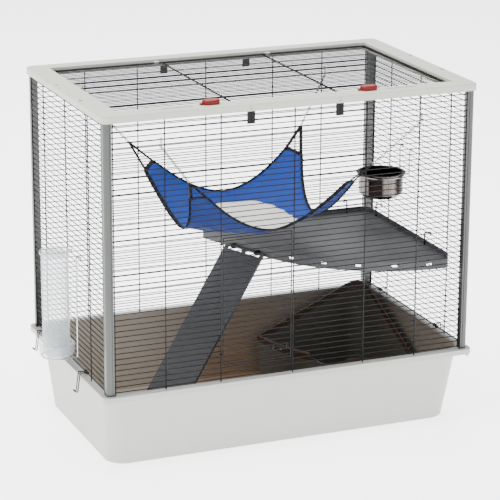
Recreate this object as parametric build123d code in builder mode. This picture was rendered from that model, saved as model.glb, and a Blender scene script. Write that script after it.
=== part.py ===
"""Two-level wire cage for small pets: a tray, a wire cage that lifts off it, and its fittings.

Frame: X along the length, Y from front to back, Z up, millimetres.
Origin: centre of the tray's underside.
"""
from build123d import *
from math import atan2, cos, degrees, radians, sin
import os

os.makedirs("parts", exist_ok=True)

# ---- Clearances -------------------------------------------------------------------------
GAP = 0.3                 # resting gap between neighbouring pieces
WELD_GAP = 0.05           # between crossed wires of one welded grid
PIVOT_FIT = 0.06          # radial clearance of a turning or sliding fit

# ---- Tray -------------------------------------------------------------------------------
RIM_LENGTH = 780.0
RIM_DEPTH = 480.0
TRAY_HEIGHT = 156.0
TRAY_WALL = 3.0
RIM_OVERHANG = 15.0
RIM_LIP = 10.0
RIM_CORNER = 14.0
TRAY_TAPER_X = 13.0       # how far each end wall leans in, top to bottom
TRAY_TAPER_Y = 33.0
TRAY_CORNER = 38.0
PEG_RADIUS = 3.0
PEG_LENGTH = 12.0
PEG_INSET = 1.0           # peg inside the rim lip, along Y

# ---- Frame and posts --------------------------------------------------------------------
CAGE_HEIGHT = 700.0       # whole height, underside of the tray to top of the roof frame
FRAME_INSET = 4.0         # roof frame edge inside the tray rim
FRAME_THICK = 14.0
FRAME_CORNER = 14.0
END_BOARD = 40.0
FRONT_BOARD = 36.0
POST_INSET = 9.0          # post face inside the tray rim
POST_LENGTH = 15.0        # along X
POST_DEPTH = 15.0         # along Y
POST_CORNER = 7.0
GROOVE = 1.2

# ---- Wire panels ------------------------------------------------------------------------
ROW_RADIUS = 1.0
UPRIGHT_RADIUS = 1.1
ROW_PITCH = 11.0
FIRST_ROW = 6.0           # first row above the rim
PANEL_INSET = 12.0        # row wires inside the tray rim
FRONT_UPRIGHTS = (-262.5, -150.0, 0.0, 150.0, 262.5)
SIDE_UPRIGHTS = (-135.0, 0.0, 135.0)

# ---- Front door -------------------------------------------------------------------------
DOOR_LEFT = FRONT_UPRIGHTS[1]
DOOR_RIGHT = FRONT_UPRIGHTS[2]
DOOR_FIRST_ROW = 3
DOOR_ROWS = 23
LOOP_PLAY = 0.4
LOOP_WIRE = 1.0
LATCH_RADIUS = 1.5
LATCH_ROW = 4             # the bolt lies just above this row
LATCH_LENGTH = 52.0
LATCH_END = 2.0           # bolt's tip inside the door's edge upright
LATCH_FINGER = 24.0       # finger behind the bolt's tip
FINGER_REACH = 9.0
FINGER_BALL = 3.6
GUIDE_SET = (6.0, 34.0)   # guides behind the bolt's tip
GUIDE_LENGTH = 3.0
GUIDE_DEPTH = 6.4
DOOR_PLAY = 4.5           # door's edge upright to the upright it shuts on

# ---- Roof lid ---------------------------------------------------------------------------
LID_CLEAR = 2.0
BORDER_RADIUS = 2.0
LEDGE_WIDTH = 6.0
LEDGE_THICK = 4.7
CROSS_X = 110.0
CROSS_RADIUS = 1.5
HINGE_X = CROSS_X + 12.0
HINGE_OUTER = 4.5
HINGE_WIDTH = 10.0
BORDER_CORNER = 8.0

# ---- Knobs ------------------------------------------------------------------------------
KNOB_X = 162.0
KNOB_LENGTH = 34.0
KNOB_WIDTH = 20.0
KNOB_HEIGHT = 9.0
KNOB_PIN = 4.0
KNOB_SETBACK = 9.0        # pivot to the board's inner edge
TONGUE = (8.0, 7.0, 3.0)
PIN_BELOW = 2.0           # pin's tip under the board

# ---- Panel clips ------------------------------------------------------------------------
PANEL_CLIP_X = 91.0
PANEL_CLIP = (15.0, 3.4, 24.0)
CLIP_GROOVE = 2.4

# ---- Shelf and ramp ---------------------------------------------------------------------
SHELF_RISE = 170.0        # shelf top above the tray rim
SHELF_SKIRT = 20.0
SHELF_WALL = 3.0
SHELF_BORDER = 10.0
SHELF_STANDOFF = 6.0      # wall edges inside the row wires
SHELF_LEFT_X = -15.0
SHELF_NOSE = (66.0, 20.0)
SHELF_FRONT_Y = -161.0
SHELF_BULGE = 52.0
SHELF_CORNER = 6.0
BORDER_FROM = 215.0       # rear border's left end
HOLE_COUNT = 5
HOLE_PITCH = 72.0
HOLE_DROP = 9.0
HOLE_SIZE = (12.0, 10.0, 5.0)
SHELF_HOOKS_X = (40.0, 320.0)
SHELF_HOOKS_Y = (-60.0, 170.0)
HOOK_TAIL = 5.0           # a hook's tail below the wire it hangs on
POST_NOTCH = 4.0          # the shelf's cut corner stands off the post
RAMP_WIDTH = 110.0
RAMP_THICK = 5.0
RAMP_SLOPE = 50.0
RAMP_ALONG = 139.0        # ramp centre along the shelf's left edge
RAMP_DROP = 15.0          # ramp pivot below the shelf top
RAMP_KNUCKLE = 8.0
RAMP_BRACKETS = (-34.0, 34.0)
RIB_WIDTH = 2.5
RIB_RISE = 1.2
RAMP_STANDOFF = 6.0
RAMP_ROD = 2.0
RAMP_RIBS = 26

# ---- Fittings ---------------------------------------------------------------------------
BOWL_STANDOFF = 57.0      # bowl's axis inside the row wires
BOWL_Y = 55.0
BOWL_RADIUS = 46.0
BOWL_LIP = 5.0
BOWL_HEIGHT = 50.0
BOWL_WALL = 1.2
BOWL_CORNER = 8.0
BOWL_ROW = 27             # the bowl's ring lies just below this row
BOWL_HOOK_ROWS = 4        # its hooks hang this many rows higher
BOWL_ARM = 22.0           # arms beside the bowl's middle
FITTING_WIRE = 1.5
BOTTLE_Y = -35.0
TANK_RADIUS = 27.0
TANK_HEIGHT = 200.0
DISH_RADIUS = 35.0
DISH_HEIGHT = 24.0
DISH_RISE = 28.0          # dish above the tray rim
DISH_WALL = 2.0
DISH_FLOOR = 5.0
CAP_RADIUS = 30.0
CAP_HEIGHT = 7.0
CLIP_PLACES = (-98.0, 165.0)
CLIP_RADIUS = 1.1
CLIP_TILT = 8.0           # how far a rim clip stands open as stored
CLIP_HALF = 5.0           # half the width between its two legs
CLIP_DROP = 40.0
CLIP_HOOK = (7.0, 3.0)    # its tip out and up from the bottom bend
PAN_CLEAR = (25.0, 29.0)  # its upper corner inside the tray body
PAN_REACH = (253.0, 268.0)
PAN_RISE = 29.0           # its corner above the tray rim
PAN_SIDE = 92.0
PAN_WALL = 2.5
PAN_BOW = 22.0
PAN_CORNER_ROUND = 40.0
PAN_SPREAD = 2.4          # how much further the inside comes in at the sharp corners
DIP_DEPTH = 20.0
DIP_RADIUS = 60.0
HAMMOCK_HOOK_INSET = 122.0    # hooks inside the rim's ends
HAMMOCK_HOOK_DOWN = 4         # rows below the top one
CHAIN_SPAN = (78.0, 53.2, 106.0)
HAMMOCK_DROP = 157.0          # bed below the corner rings
CORNER_SPAN = (28.0, 28.0, 32.0)   # corner ring to the cloth's corner
EDGE_SAG = (83.0, 103.0)      # long and short edges below the cloth's corners
FLOOR_SHARE = 0.55
SAG_INSET = 22.0
HOOK_FOOT = 12.0
CLOTH = 4.0
CLOTH_CORNER = 30.0
STRAP_RADIUS = 3.0
CHAIN_RADIUS = 1.5
HOOK_RADIUS = 1.2

# ---- Sizes that follow ------------------------------------------------------------------
HALF_RIM_X, HALF_RIM_Y = RIM_LENGTH / 2, RIM_DEPTH / 2
FRAME_X, FRAME_Y = HALF_RIM_X - FRAME_INSET, HALF_RIM_Y - FRAME_INSET
FRAME_LOW = CAGE_HEIGHT - FRAME_THICK
OPEN_X, OPEN_Y = FRAME_X - END_BOARD, FRAME_Y - FRONT_BOARD
POST_X, POST_Y = HALF_RIM_X - POST_INSET, HALF_RIM_Y - POST_INSET
INNER_X, INNER_Y = POST_X - POST_LENGTH, POST_Y - POST_DEPTH
ROW_X, ROW_Y = HALF_RIM_X - PANEL_INSET, HALF_RIM_Y - PANEL_INSET
CROSSING = ROW_RADIUS + UPRIGHT_RADIUS + WELD_GAP
UPRIGHT_X, UPRIGHT_Y = ROW_X + CROSSING, ROW_Y + CROSSING
EDGE_STEP = 2.0           # outermost upright inside the post
ROW_COUNT = int((FRAME_LOW - TRAY_HEIGHT - FIRST_ROW - ROW_RADIUS - GAP) // ROW_PITCH) + 1
ROWS = [TRAY_HEIGHT + FIRST_ROW + ROW_PITCH * k for k in range(ROW_COUNT)]
BODY_X, BODY_Y = HALF_RIM_X - RIM_OVERHANG, HALF_RIM_Y - RIM_OVERHANG
SHELF_TOP = TRAY_HEIGHT + SHELF_RISE
SHELF_END, SHELF_BACK = ROW_X - SHELF_STANDOFF, ROW_Y - SHELF_STANDOFF
SHELF_LEFT, SHELF_FRONT = (SHELF_LEFT_X, SHELF_BACK), (SHELF_END, SHELF_FRONT_Y)
BOWL_AT = (ROW_X - BOWL_STANDOFF, BOWL_Y)
DISH_BASE = TRAY_HEIGHT + DISH_RISE
PAN_CORNER = (BODY_X - PAN_CLEAR[0], BODY_Y - PAN_CLEAR[1])
PAN_LEFT, PAN_FRONT = PAN_CORNER[0] - PAN_REACH[0], PAN_CORNER[1] - PAN_REACH[1]
PAN_HIGH = TRAY_HEIGHT + PAN_RISE
ALONG_X = (0, 90, 0)      # turns a cylinder's axis onto X
ALONG_Y = (90, 0, 0)      # turns a cylinder's axis onto Y


def save(piece, node):
    """Label a finished piece and write it as parts/NODE.step."""
    piece.part.label = node
    export_step(piece.part, f"parts/{node}.step")


def rounded_prism(half_x, half_y, corner, low, high, mode=Mode.ADD):
    """Upright block with rounded corners, centred on the Z axis."""
    with BuildSketch(Plane.XY.offset(low)) as outline:
        RectangleRounded(2 * half_x, 2 * half_y, corner)
    extrude(outline.sketch, amount=high - low, mode=mode)


def rods_x(places, x_from, x_to, radius):
    """Round rods along X at the given (y, z) places."""
    middle = (x_from + x_to) / 2
    with Locations(*[(middle, y, z) for y, z in places]):
        Cylinder(radius, x_to - x_from, rotation=ALONG_X)


def rods_y(places, y_from, y_to, radius):
    """Round rods along Y at the given (x, z) places."""
    middle = (y_from + y_to) / 2
    with Locations(*[(x, middle, z) for x, z in places]):
        Cylinder(radius, y_to - y_from, rotation=ALONG_Y)


def rods_z(places, z_from, z_to, radius):
    """Round rods along Z at the given (x, y) places."""
    with Locations(*[(x, y, z_from) for x, y in places]):
        Cylinder(radius, z_to - z_from, align=(Align.CENTER, Align.CENTER, Align.MIN))


def bent_wire(points, bend, radius):
    """Round wire along straight runs with the same bend radius at each corner."""
    with BuildLine() as route:
        FilletPolyline(*points, radius=bend)
    start = Plane(origin=route.line @ 0, z_dir=route.line % 0)
    with BuildSketch(start) as section:
        Circle(radius)
    sweep(section.sketch, path=route.line)


def hanging_wire(points, row):
    """Fitting wire whose last run drops a short tail past the row it hangs on."""
    x, y, _ = points[-1]
    bent_wire([*points, (x, y, row - HOOK_TAIL)], FITTING_WIRE + GAP, FITTING_WIRE)


def ring_at(centre, direction, middle_radius, wire_radius):
    """Closed wire ring about an axis."""
    with Locations(Plane(origin=centre, z_dir=direction)):
        Torus(middle_radius, wire_radius)


# ---- Tray -------------------------------------------------------------------------------
with BuildPart() as tray:
    with BuildSketch():
        RectangleRounded(2 * (BODY_X - TRAY_TAPER_X), 2 * (BODY_Y - TRAY_TAPER_Y), TRAY_CORNER)
    with BuildSketch(Plane.XY.offset(TRAY_HEIGHT)):
        RectangleRounded(2 * BODY_X, 2 * BODY_Y, TRAY_CORNER)
    loft()
    rounded_prism(HALF_RIM_X, HALF_RIM_Y, RIM_CORNER, TRAY_HEIGHT - TRAY_WALL, TRAY_HEIGHT)
    rounded_prism(HALF_RIM_X, HALF_RIM_Y, RIM_CORNER, TRAY_HEIGHT - RIM_LIP, TRAY_HEIGHT - TRAY_WALL)
    with BuildSketch(Plane.XY.offset(TRAY_HEIGHT - RIM_LIP)) as under_rim:
        RectangleRounded(2 * (HALF_RIM_X - TRAY_WALL), 2 * (HALF_RIM_Y - TRAY_WALL), RIM_CORNER - TRAY_WALL)
        RectangleRounded(2 * BODY_X, 2 * BODY_Y, TRAY_CORNER, mode=Mode.SUBTRACT)
    extrude(under_rim.sketch, amount=RIM_LIP - TRAY_WALL, mode=Mode.SUBTRACT)
    floor_x, floor_y = BODY_X - TRAY_TAPER_X - TRAY_WALL, BODY_Y - TRAY_TAPER_Y - TRAY_WALL
    with BuildSketch(Plane.XY.offset(TRAY_WALL)) as floor_outline:
        RectangleRounded(2 * floor_x, 2 * floor_y, TRAY_CORNER - TRAY_WALL)
    with BuildSketch(Plane.XY.offset(TRAY_HEIGHT)) as mouth_outline:
        RectangleRounded(2 * (BODY_X - TRAY_WALL), 2 * (BODY_Y - TRAY_WALL), TRAY_CORNER - TRAY_WALL)
    loft([floor_outline.sketch, mouth_outline.sketch], mode=Mode.SUBTRACT)
    peg_x, peg_y = HALF_RIM_X - 2 * PEG_RADIUS - TRAY_WALL, HALF_RIM_Y - PEG_RADIUS - TRAY_WALL - PEG_INSET
    rods_z([(sx * peg_x, sy * peg_y) for sx in (-1, 1) for sy in (-1, 1)],
           TRAY_HEIGHT - TRAY_WALL - PEG_LENGTH, TRAY_HEIGHT - TRAY_WALL, PEG_RADIUS)
save(tray, "tray")

# ---- Corner posts -----------------------------------------------------------------------
for name, side, face in (("post_front_left", -1, -1), ("post_front_right", 1, -1),
                         ("post_rear_left", -1, 1), ("post_rear_right", 1, 1)):
    with BuildPart() as post:
        with BuildSketch(Plane.XY.offset(TRAY_HEIGHT)) as profile:
            with Locations((side * (POST_X - POST_LENGTH / 2), face * (POST_Y - POST_DEPTH / 2))):
                Rectangle(POST_LENGTH, POST_DEPTH)
            outer = profile.vertices().sort_by(lambda v: abs(v.X) + abs(v.Y))[-1]
            fillet(outer, radius=POST_CORNER)
            with Locations((side * (INNER_X + POST_LENGTH / 4), face * POST_Y)):
                Rectangle(GROOVE, 2 * GROOVE, mode=Mode.SUBTRACT)
            with Locations((side * POST_X, face * (INNER_Y + POST_DEPTH / 4))):
                Rectangle(2 * GROOVE, GROOVE, mode=Mode.SUBTRACT)
        extrude(amount=FRAME_LOW - TRAY_HEIGHT)
    save(post, name)

# ---- Roof frame -------------------------------------------------------------------------
KNOB_Y = -(OPEN_Y + KNOB_SETBACK)
RECESS_LENGTH, RECESS_WIDTH, RECESS_DEPTH = 64.0, 5.0, 1.0
RECESS_X, RECESS_Y = 230.0, -(FRAME_Y - 23.0)
NOTCH_PLACES, NOTCH_SIZE = (-95.0, 48.0), (7.0, 9.0)
CLIP_SLOT = (3.0, 3.0, 8.0)
TOP_ROUND = 3.0
with BuildPart() as roof_frame:
    rounded_prism(FRAME_X, FRAME_Y, FRAME_CORNER, FRAME_LOW, CAGE_HEIGHT)
    fillet(roof_frame.faces().sort_by(Axis.Z)[-1].outer_wire().edges(), radius=TOP_ROUND)
    ledge_top = FRAME_LOW + LEDGE_THICK
    with BuildSketch(Plane.XY.offset(ledge_top)) as opening:
        Rectangle(2 * OPEN_X, 2 * OPEN_Y)
    extrude(opening.sketch, amount=FRAME_THICK, mode=Mode.SUBTRACT)
    with BuildSketch(Plane.XY.offset(FRAME_LOW)) as well:
        Rectangle(2 * (OPEN_X - LEDGE_WIDTH), 2 * (OPEN_Y - LEDGE_WIDTH))
    extrude(well.sketch, amount=FRAME_THICK, mode=Mode.SUBTRACT)
    with Locations(*[(s * KNOB_X, KNOB_Y, CAGE_HEIGHT) for s in (-1, 1)]):
        Hole(KNOB_PIN + PIVOT_FIT)
    with Locations(*[(s * RECESS_X, RECESS_Y, CAGE_HEIGHT) for s in (-1, 1)]):
        Box(RECESS_LENGTH, RECESS_WIDTH, 2 * RECESS_DEPTH, mode=Mode.SUBTRACT)
    with Locations(*[(s * (FRAME_X - NOTCH_SIZE[0]), y, CAGE_HEIGHT) for s in (-1, 1) for y in NOTCH_PLACES]):
        Box(*NOTCH_SIZE, FRAME_THICK / 2, mode=Mode.SUBTRACT)
    with Locations(*[(s * PANEL_CLIP_X, f * FRAME_Y, CAGE_HEIGHT - FRAME_THICK / 2)
                     for s in (-1, 1) for f in (-1, 1)]):
        Box(*CLIP_SLOT, mode=Mode.SUBTRACT)
save(roof_frame, "roof_frame")

# ---- Wire panels ------------------------------------------------------------------------
edge_x, edge_y = INNER_X - EDGE_STEP, INNER_Y - EDGE_STEP
row_end_x, row_end_y = INNER_X - GAP, INNER_Y - GAP
upright_low, upright_high = TRAY_HEIGHT + GAP, FRAME_LOW - GAP
long_uprights = (-edge_x, *FRONT_UPRIGHTS, edge_x)
short_uprights = (-edge_y, *SIDE_UPRIGHTS, edge_y)
door_rows = ROWS[DOOR_FIRST_ROW:DOOR_FIRST_ROW + DOOR_ROWS]
low_rows, high_rows = ROWS[:DOOR_FIRST_ROW], ROWS[DOOR_FIRST_ROW + DOOR_ROWS:]

for name, face in (("front_uprights", -1), ("rear_uprights", 1)):
    with BuildPart() as uprights:
        rods_z([(x, face * UPRIGHT_Y) for x in long_uprights], upright_low, upright_high, UPRIGHT_RADIUS)
    save(uprights, name)

for name, side in (("left_uprights", -1), ("right_uprights", 1)):
    with BuildPart() as uprights:
        rods_z([(side * UPRIGHT_X, y) for y in short_uprights], upright_low, upright_high, UPRIGHT_RADIUS)
    save(uprights, name)

with BuildPart() as rear_rows:
    rods_x([(ROW_Y, z) for z in ROWS], -row_end_x, row_end_x, ROW_RADIUS)
save(rear_rows, "rear_rows")

for name, side in (("left_rows", -1), ("right_rows", 1)):
    with BuildPart() as side_rows:
        rods_y([(side * ROW_X, z) for z in ROWS], -row_end_y, row_end_y, ROW_RADIUS)
    save(side_rows, name)

for name, heights, x_from, x_to in (
        ("front_rows_low", low_rows, -row_end_x, row_end_x),
        ("front_rows_left", door_rows, -row_end_x, DOOR_LEFT + ROW_RADIUS),
        ("front_rows_right", door_rows, DOOR_RIGHT - ROW_RADIUS, row_end_x),
        ("front_rows_high", high_rows, -row_end_x, row_end_x)):
    with BuildPart() as front_rows:
        rods_x([(-ROW_Y, z) for z in heights], x_from, x_to, ROW_RADIUS)
    save(front_rows, name)

# ---- Front door, hinged on the upright at its left --------------------------------------
loop_middle = UPRIGHT_RADIUS + LOOP_PLAY + LOOP_WIRE
door_edge_left = DOOR_LEFT + loop_middle + LOOP_WIRE + UPRIGHT_RADIUS - WELD_GAP
door_edge_right = DOOR_RIGHT - DOOR_PLAY
door_low, door_high = door_rows[0] - ROW_PITCH / 2, door_rows[-1] + ROW_PITCH / 2
with BuildPart() as front_door:
    door_from, door_to = door_edge_left - UPRIGHT_RADIUS, door_edge_right + UPRIGHT_RADIUS
    rods_x([(-ROW_Y, z) for z in (door_low, *door_rows, door_high)], door_from, door_to, ROW_RADIUS)
    rods_z([(x, -UPRIGHT_Y) for x in (door_edge_left, door_edge_right)],
           door_low - ROW_RADIUS, door_high + ROW_RADIUS, UPRIGHT_RADIUS)
    for row in (1, DOOR_ROWS - 2):
        loop_height = door_rows[row] + ROW_PITCH / 2
        ring_at((DOOR_LEFT, -UPRIGHT_Y, loop_height), (0, 0, 1), loop_middle, LOOP_WIRE)
save(front_door, "front_door")

latch_z = ROWS[LATCH_ROW] + ROW_PITCH / 2
latch_y = -(ROW_Y - ROW_RADIUS - GAP - LATCH_RADIUS)
latch_end = door_edge_right - LATCH_END
guide_places = [latch_end - back for back in GUIDE_SET]
with BuildPart() as latch_guides:
    guide_height = ROW_PITCH - 2 * ROW_RADIUS - 2 * WELD_GAP
    with Locations(*[(x, latch_y, latch_z) for x in guide_places]):
        Box(GUIDE_LENGTH, GUIDE_DEPTH, guide_height)
        Cylinder(LATCH_RADIUS + PIVOT_FIT, GUIDE_LENGTH + 1, rotation=ALONG_X, mode=Mode.SUBTRACT)
save(latch_guides, "latch_guides")

with BuildPart() as door_latch:
    finger_x, finger_y = latch_end - LATCH_FINGER, -(UPRIGHT_Y + FINGER_REACH)
    rods_x([(latch_y, latch_z)], latch_end - LATCH_LENGTH, latch_end, LATCH_RADIUS)
    rods_y([(finger_x, latch_z)], finger_y, latch_y, LATCH_RADIUS)
    with Locations((finger_x, finger_y, latch_z)):
        Sphere(FINGER_BALL)
save(door_latch, "door_latch")

# ---- Roof lid, hinged on its own rear border wire ---------------------------------------
border_x = OPEN_X - LID_CLEAR - BORDER_RADIUS
border_y = OPEN_Y - LID_CLEAR - 2 * BORDER_RADIUS
border_z = FRAME_LOW + LEDGE_THICK + GAP + BORDER_RADIUS
lid_row_z = border_z + BORDER_RADIUS + ROW_RADIUS + WELD_GAP
lid_row_steps = int((border_y - BORDER_CORNER + BORDER_RADIUS) // ROW_PITCH)
with BuildPart() as lid_border:
    with BuildSketch(Plane.XY.offset(border_z)) as border_outline:
        RectangleRounded(2 * border_x, 2 * border_y, BORDER_CORNER)
    border_path = border_outline.sketch.faces()[0].outer_wire()
    with BuildSketch(Plane(origin=border_path @ 0, z_dir=border_path % 0)) as border_section:
        Circle(BORDER_RADIUS)
    sweep(border_section.sketch, path=border_path)
save(lid_border, "lid_border")

with BuildPart() as lid_grid:
    lid_rows = [ROW_PITCH * k for k in range(-lid_row_steps, lid_row_steps + 1)]
    rods_x([(y, lid_row_z) for y in lid_rows], -border_x, border_x, ROW_RADIUS)
    cross_end = border_y - BORDER_RADIUS - WELD_GAP
    rods_y([(s * CROSS_X, lid_row_z - ROW_RADIUS - CROSS_RADIUS - WELD_GAP) for s in (-1, 1)],
           -cross_end, cross_end, CROSS_RADIUS)
save(lid_grid, "lid_grid")

with BuildPart() as lid_hinges:
    foot_low, foot_high = FRAME_LOW + LEDGE_THICK, border_z + BORDER_RADIUS + 0.5
    foot_from, foot_to = border_y, OPEN_Y
    with Locations(*[(s * HINGE_X, border_y, border_z) for s in (-1, 1)]):
        Cylinder(HINGE_OUTER, HINGE_WIDTH, rotation=ALONG_X)
    with Locations(*[(s * HINGE_X, (foot_from + foot_to) / 2, (foot_low + foot_high) / 2) for s in (-1, 1)]):
        Box(HINGE_WIDTH, foot_to - foot_from, foot_high - foot_low)
    with Locations((0, border_y, foot_low)):
        Box(2 * RIM_LENGTH, 4 * HINGE_OUTER, 2 * HINGE_OUTER, mode=Mode.SUBTRACT,
            align=(Align.CENTER, Align.CENTER, Align.MAX))
    with Locations((0, border_y, border_z)):
        Cylinder(BORDER_RADIUS + PIVOT_FIT, RIM_LENGTH, rotation=ALONG_X, mode=Mode.SUBTRACT)
save(lid_hinges, "lid_hinges")

# ---- Knobs that turn a tongue over the lid's front wire ---------------------------------
for name, side in (("knob_left", -1), ("knob_right", 1)):
    with BuildPart() as knob:
        knob_low = CAGE_HEIGHT + GAP
        with BuildSketch(Plane.XY.offset(knob_low)) as knob_outline:
            with Locations((side * KNOB_X, KNOB_Y)):
                SlotOverall(KNOB_LENGTH, KNOB_WIDTH)
        extrude(amount=KNOB_HEIGHT)
        fillet(knob.faces().sort_by(Axis.Z)[-1].edges(), radius=TOP_ROUND)
        with Locations((side * KNOB_X - KNOB_LENGTH / 2 - 1, KNOB_Y, knob_low)):
            Box(*TONGUE, align=(Align.CENTER, Align.CENTER, Align.MIN))
        pin_low = FRAME_LOW - PIN_BELOW
        with Locations((side * KNOB_X, KNOB_Y, pin_low)):
            Cylinder(KNOB_PIN, knob_low - pin_low, align=(Align.CENTER, Align.CENTER, Align.MIN))
    save(knob, name)

# ---- Clips that hold the panels' top edge under the boards ------------------------------
with BuildPart() as panel_clips:
    clip_y = UPRIGHT_Y + UPRIGHT_RADIUS + GAP
    for face in (-1, 1):
        with Locations(*[(s * PANEL_CLIP_X, face * clip_y, FRAME_LOW) for s in (-1, 1)]):
            Box(*PANEL_CLIP, align=(Align.CENTER, Align.MIN if face > 0 else Align.MAX, Align.MAX))
        with Locations(*[(s * PANEL_CLIP_X, face * (clip_y + PANEL_CLIP[1]), FRAME_LOW) for s in (-1, 1)]):
            Box(CLIP_GROOVE, PANEL_CLIP[1] / 2, 2 * PANEL_CLIP[2], mode=Mode.SUBTRACT)
save(panel_clips, "panel_clips")

# ---- Rim clips, one wire each, turning on the lowest side row ---------------------------
clip_loop = ROW_RADIUS + LOOP_PLAY + CLIP_RADIUS
clip_reach = PANEL_INSET + 2 * CLIP_RADIUS + GAP


def clip_point(side, out, across, rise):
    """Point of a rim clip that stands open by CLIP_TILT, about the lowest side row."""
    tilt = radians(CLIP_TILT)
    turned_out = out * cos(tilt) - rise * sin(tilt)
    turned_up = out * sin(tilt) + rise * cos(tilt)
    return (side * (ROW_X + turned_out), across, ROWS[0] + turned_up)


for side_name, side in (("left", -1), ("right", 1)):
    for place_name, place in zip(("front", "rear"), CLIP_PLACES):
        with BuildPart() as rim_clip:
            shape = [(clip_loop, 0), (clip_reach, 0), (clip_reach, -CLIP_DROP),
                     (clip_reach + CLIP_HOOK[0], CLIP_HOOK[1] - CLIP_DROP)]
            down = [clip_point(side, o, place - CLIP_HALF, h) for o, h in shape]
            back = [clip_point(side, o, place + CLIP_HALF, h) for o, h in reversed(shape)]
            bent_wire(down + back, CLIP_RADIUS + GAP, CLIP_RADIUS)
            for across in (place - CLIP_HALF, place + CLIP_HALF):
                ring_at((side * ROW_X, across, ROWS[0]), (0, 1, 0), clip_loop, CLIP_RADIUS)
        save(rim_clip, f"rim_clip_{side_name}_{place_name}")

# ---- Shelf ------------------------------------------------------------------------------
chord = Vector(*SHELF_FRONT) - Vector(*SHELF_NOSE)
bulge_way = Vector(chord.Y, -chord.X).normalized()
front_middle = (Vector(*SHELF_FRONT) + Vector(*SHELF_NOSE)) / 2 + bulge_way * SHELF_BULGE


def shelf_outline():
    """Closed line of the shelf in plan, inside a BuildLine."""
    nose = Line(SHELF_LEFT, SHELF_NOSE)
    front = ThreePointArc(nose @ 1, (front_middle.X, front_middle.Y), SHELF_FRONT)
    wall_end = Line(front @ 1, (SHELF_END, SHELF_BACK))
    Line(wall_end @ 1, nose @ 0)


front_radius = (chord.length ** 2 / 4 + SHELF_BULGE ** 2) / (2 * SHELF_BULGE)
front_centre = front_middle - bulge_way * front_radius
shelf_low = SHELF_TOP - SHELF_SKIRT
with BuildPart() as shelf:
    with BuildSketch(Plane.XY.offset(shelf_low)) as plan:
        with BuildLine():
            shelf_outline()
        make_face()
        wall_corner = plan.vertices().sort_by(lambda v: v.X + v.Y)[-1]
        chamfer(wall_corner, length=SHELF_END + SHELF_BACK - INNER_X - INNER_Y + POST_NOTCH)
        fillet(plan.vertices(), radius=SHELF_CORNER)
    extrude(amount=SHELF_SKIRT)
    with BuildSketch(Plane.XY.offset(shelf_low)) as hollow:
        add(plan.sketch)
        offset(amount=-SHELF_WALL)
    extrude(hollow.sketch, amount=SHELF_SKIRT - SHELF_WALL, mode=Mode.SUBTRACT)
    with BuildSketch(Plane.XY.offset(SHELF_TOP)) as border:
        add(plan.sketch)
        add(hollow.sketch, mode=Mode.SUBTRACT)
        wall_x, wall_y = SHELF_END - SHELF_WALL, SHELF_BACK - SHELF_WALL
        with BuildLine():
            Polyline((-RIM_LENGTH, -RIM_LENGTH), (wall_x, -RIM_LENGTH), (wall_x, 0), (0, wall_y),
                     (-RIM_LENGTH, wall_y), close=True)
        make_face(mode=Mode.SUBTRACT)
        with Locations((BORDER_FROM, SHELF_BACK)):
            Rectangle(RIM_LENGTH, 4 * SHELF_CORNER, align=(Align.MAX, Align.CENTER), mode=Mode.SUBTRACT)
    extrude(border.sketch, amount=SHELF_BORDER)
    for k in range(HOLE_COUNT):
        angle = atan2(front_middle.Y - front_centre.Y, front_middle.X - front_centre.X)
        angle += HOLE_PITCH / front_radius * (k - (HOLE_COUNT - 1) / 2)
        spot = (front_centre.X + front_radius * cos(angle), front_centre.Y + front_radius * sin(angle))
        with Locations(Location((*spot, SHELF_TOP - HOLE_DROP), (0, 0, degrees(angle) + 90))):
            Box(*HOLE_SIZE, mode=Mode.SUBTRACT)
save(shelf, "shelf")

edge_way = (Vector(*SHELF_NOSE) - Vector(*SHELF_LEFT)).normalized()
ramp_way = Vector(edge_way.Y, -edge_way.X)
pivot_flat = Vector(*SHELF_LEFT) + edge_way * RAMP_ALONG + ramp_way * RAMP_STANDOFF
ramp_pivot = Vector(pivot_flat.X, pivot_flat.Y, SHELF_TOP - RAMP_DROP)
slope = radians(RAMP_SLOPE)

# ---- Hooks that carry the shelf on the rear and end panels ------------------------------
hook_row = min(z for z in ROWS if z > SHELF_TOP + SHELF_BORDER + 2 * FITTING_WIRE)
hook_top = hook_row + ROW_RADIUS + FITTING_WIRE + GAP
with BuildPart() as shelf_hooks:
    from_wall = SHELF_WALL + GAP + FITTING_WIRE
    for x in SHELF_HOOKS_X:
        hanging_wire([(x, SHELF_BACK - from_wall, SHELF_TOP + GAP), (x, SHELF_BACK - from_wall, hook_top),
                      (x, UPRIGHT_Y + 1, hook_top)], hook_row)
    for y in SHELF_HOOKS_Y:
        hanging_wire([(SHELF_END - from_wall, y, SHELF_TOP + GAP), (SHELF_END - from_wall, y, hook_top),
                      (UPRIGHT_X + 1, y, hook_top)], hook_row)
save(shelf_hooks, "shelf_hooks")

# ---- Ramp brackets on the shelf's left edge ---------------------------------------------
across_plane = Plane(origin=ramp_pivot, x_dir=-ramp_way, z_dir=edge_way)
with BuildPart() as ramp_brackets:
    for place in RAMP_BRACKETS:
        with BuildSketch(across_plane.offset(place - RAMP_KNUCKLE / 2)) as bracket:
            Circle(HINGE_OUTER)
            Rectangle(RAMP_STANDOFF - GAP / 2, 2 * HINGE_OUTER, align=(Align.MIN, Align.CENTER))
            Circle(RAMP_ROD + PIVOT_FIT, mode=Mode.SUBTRACT)
        extrude(bracket.sketch, amount=RAMP_KNUCKLE)
save(ramp_brackets, "ramp_brackets")

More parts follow.
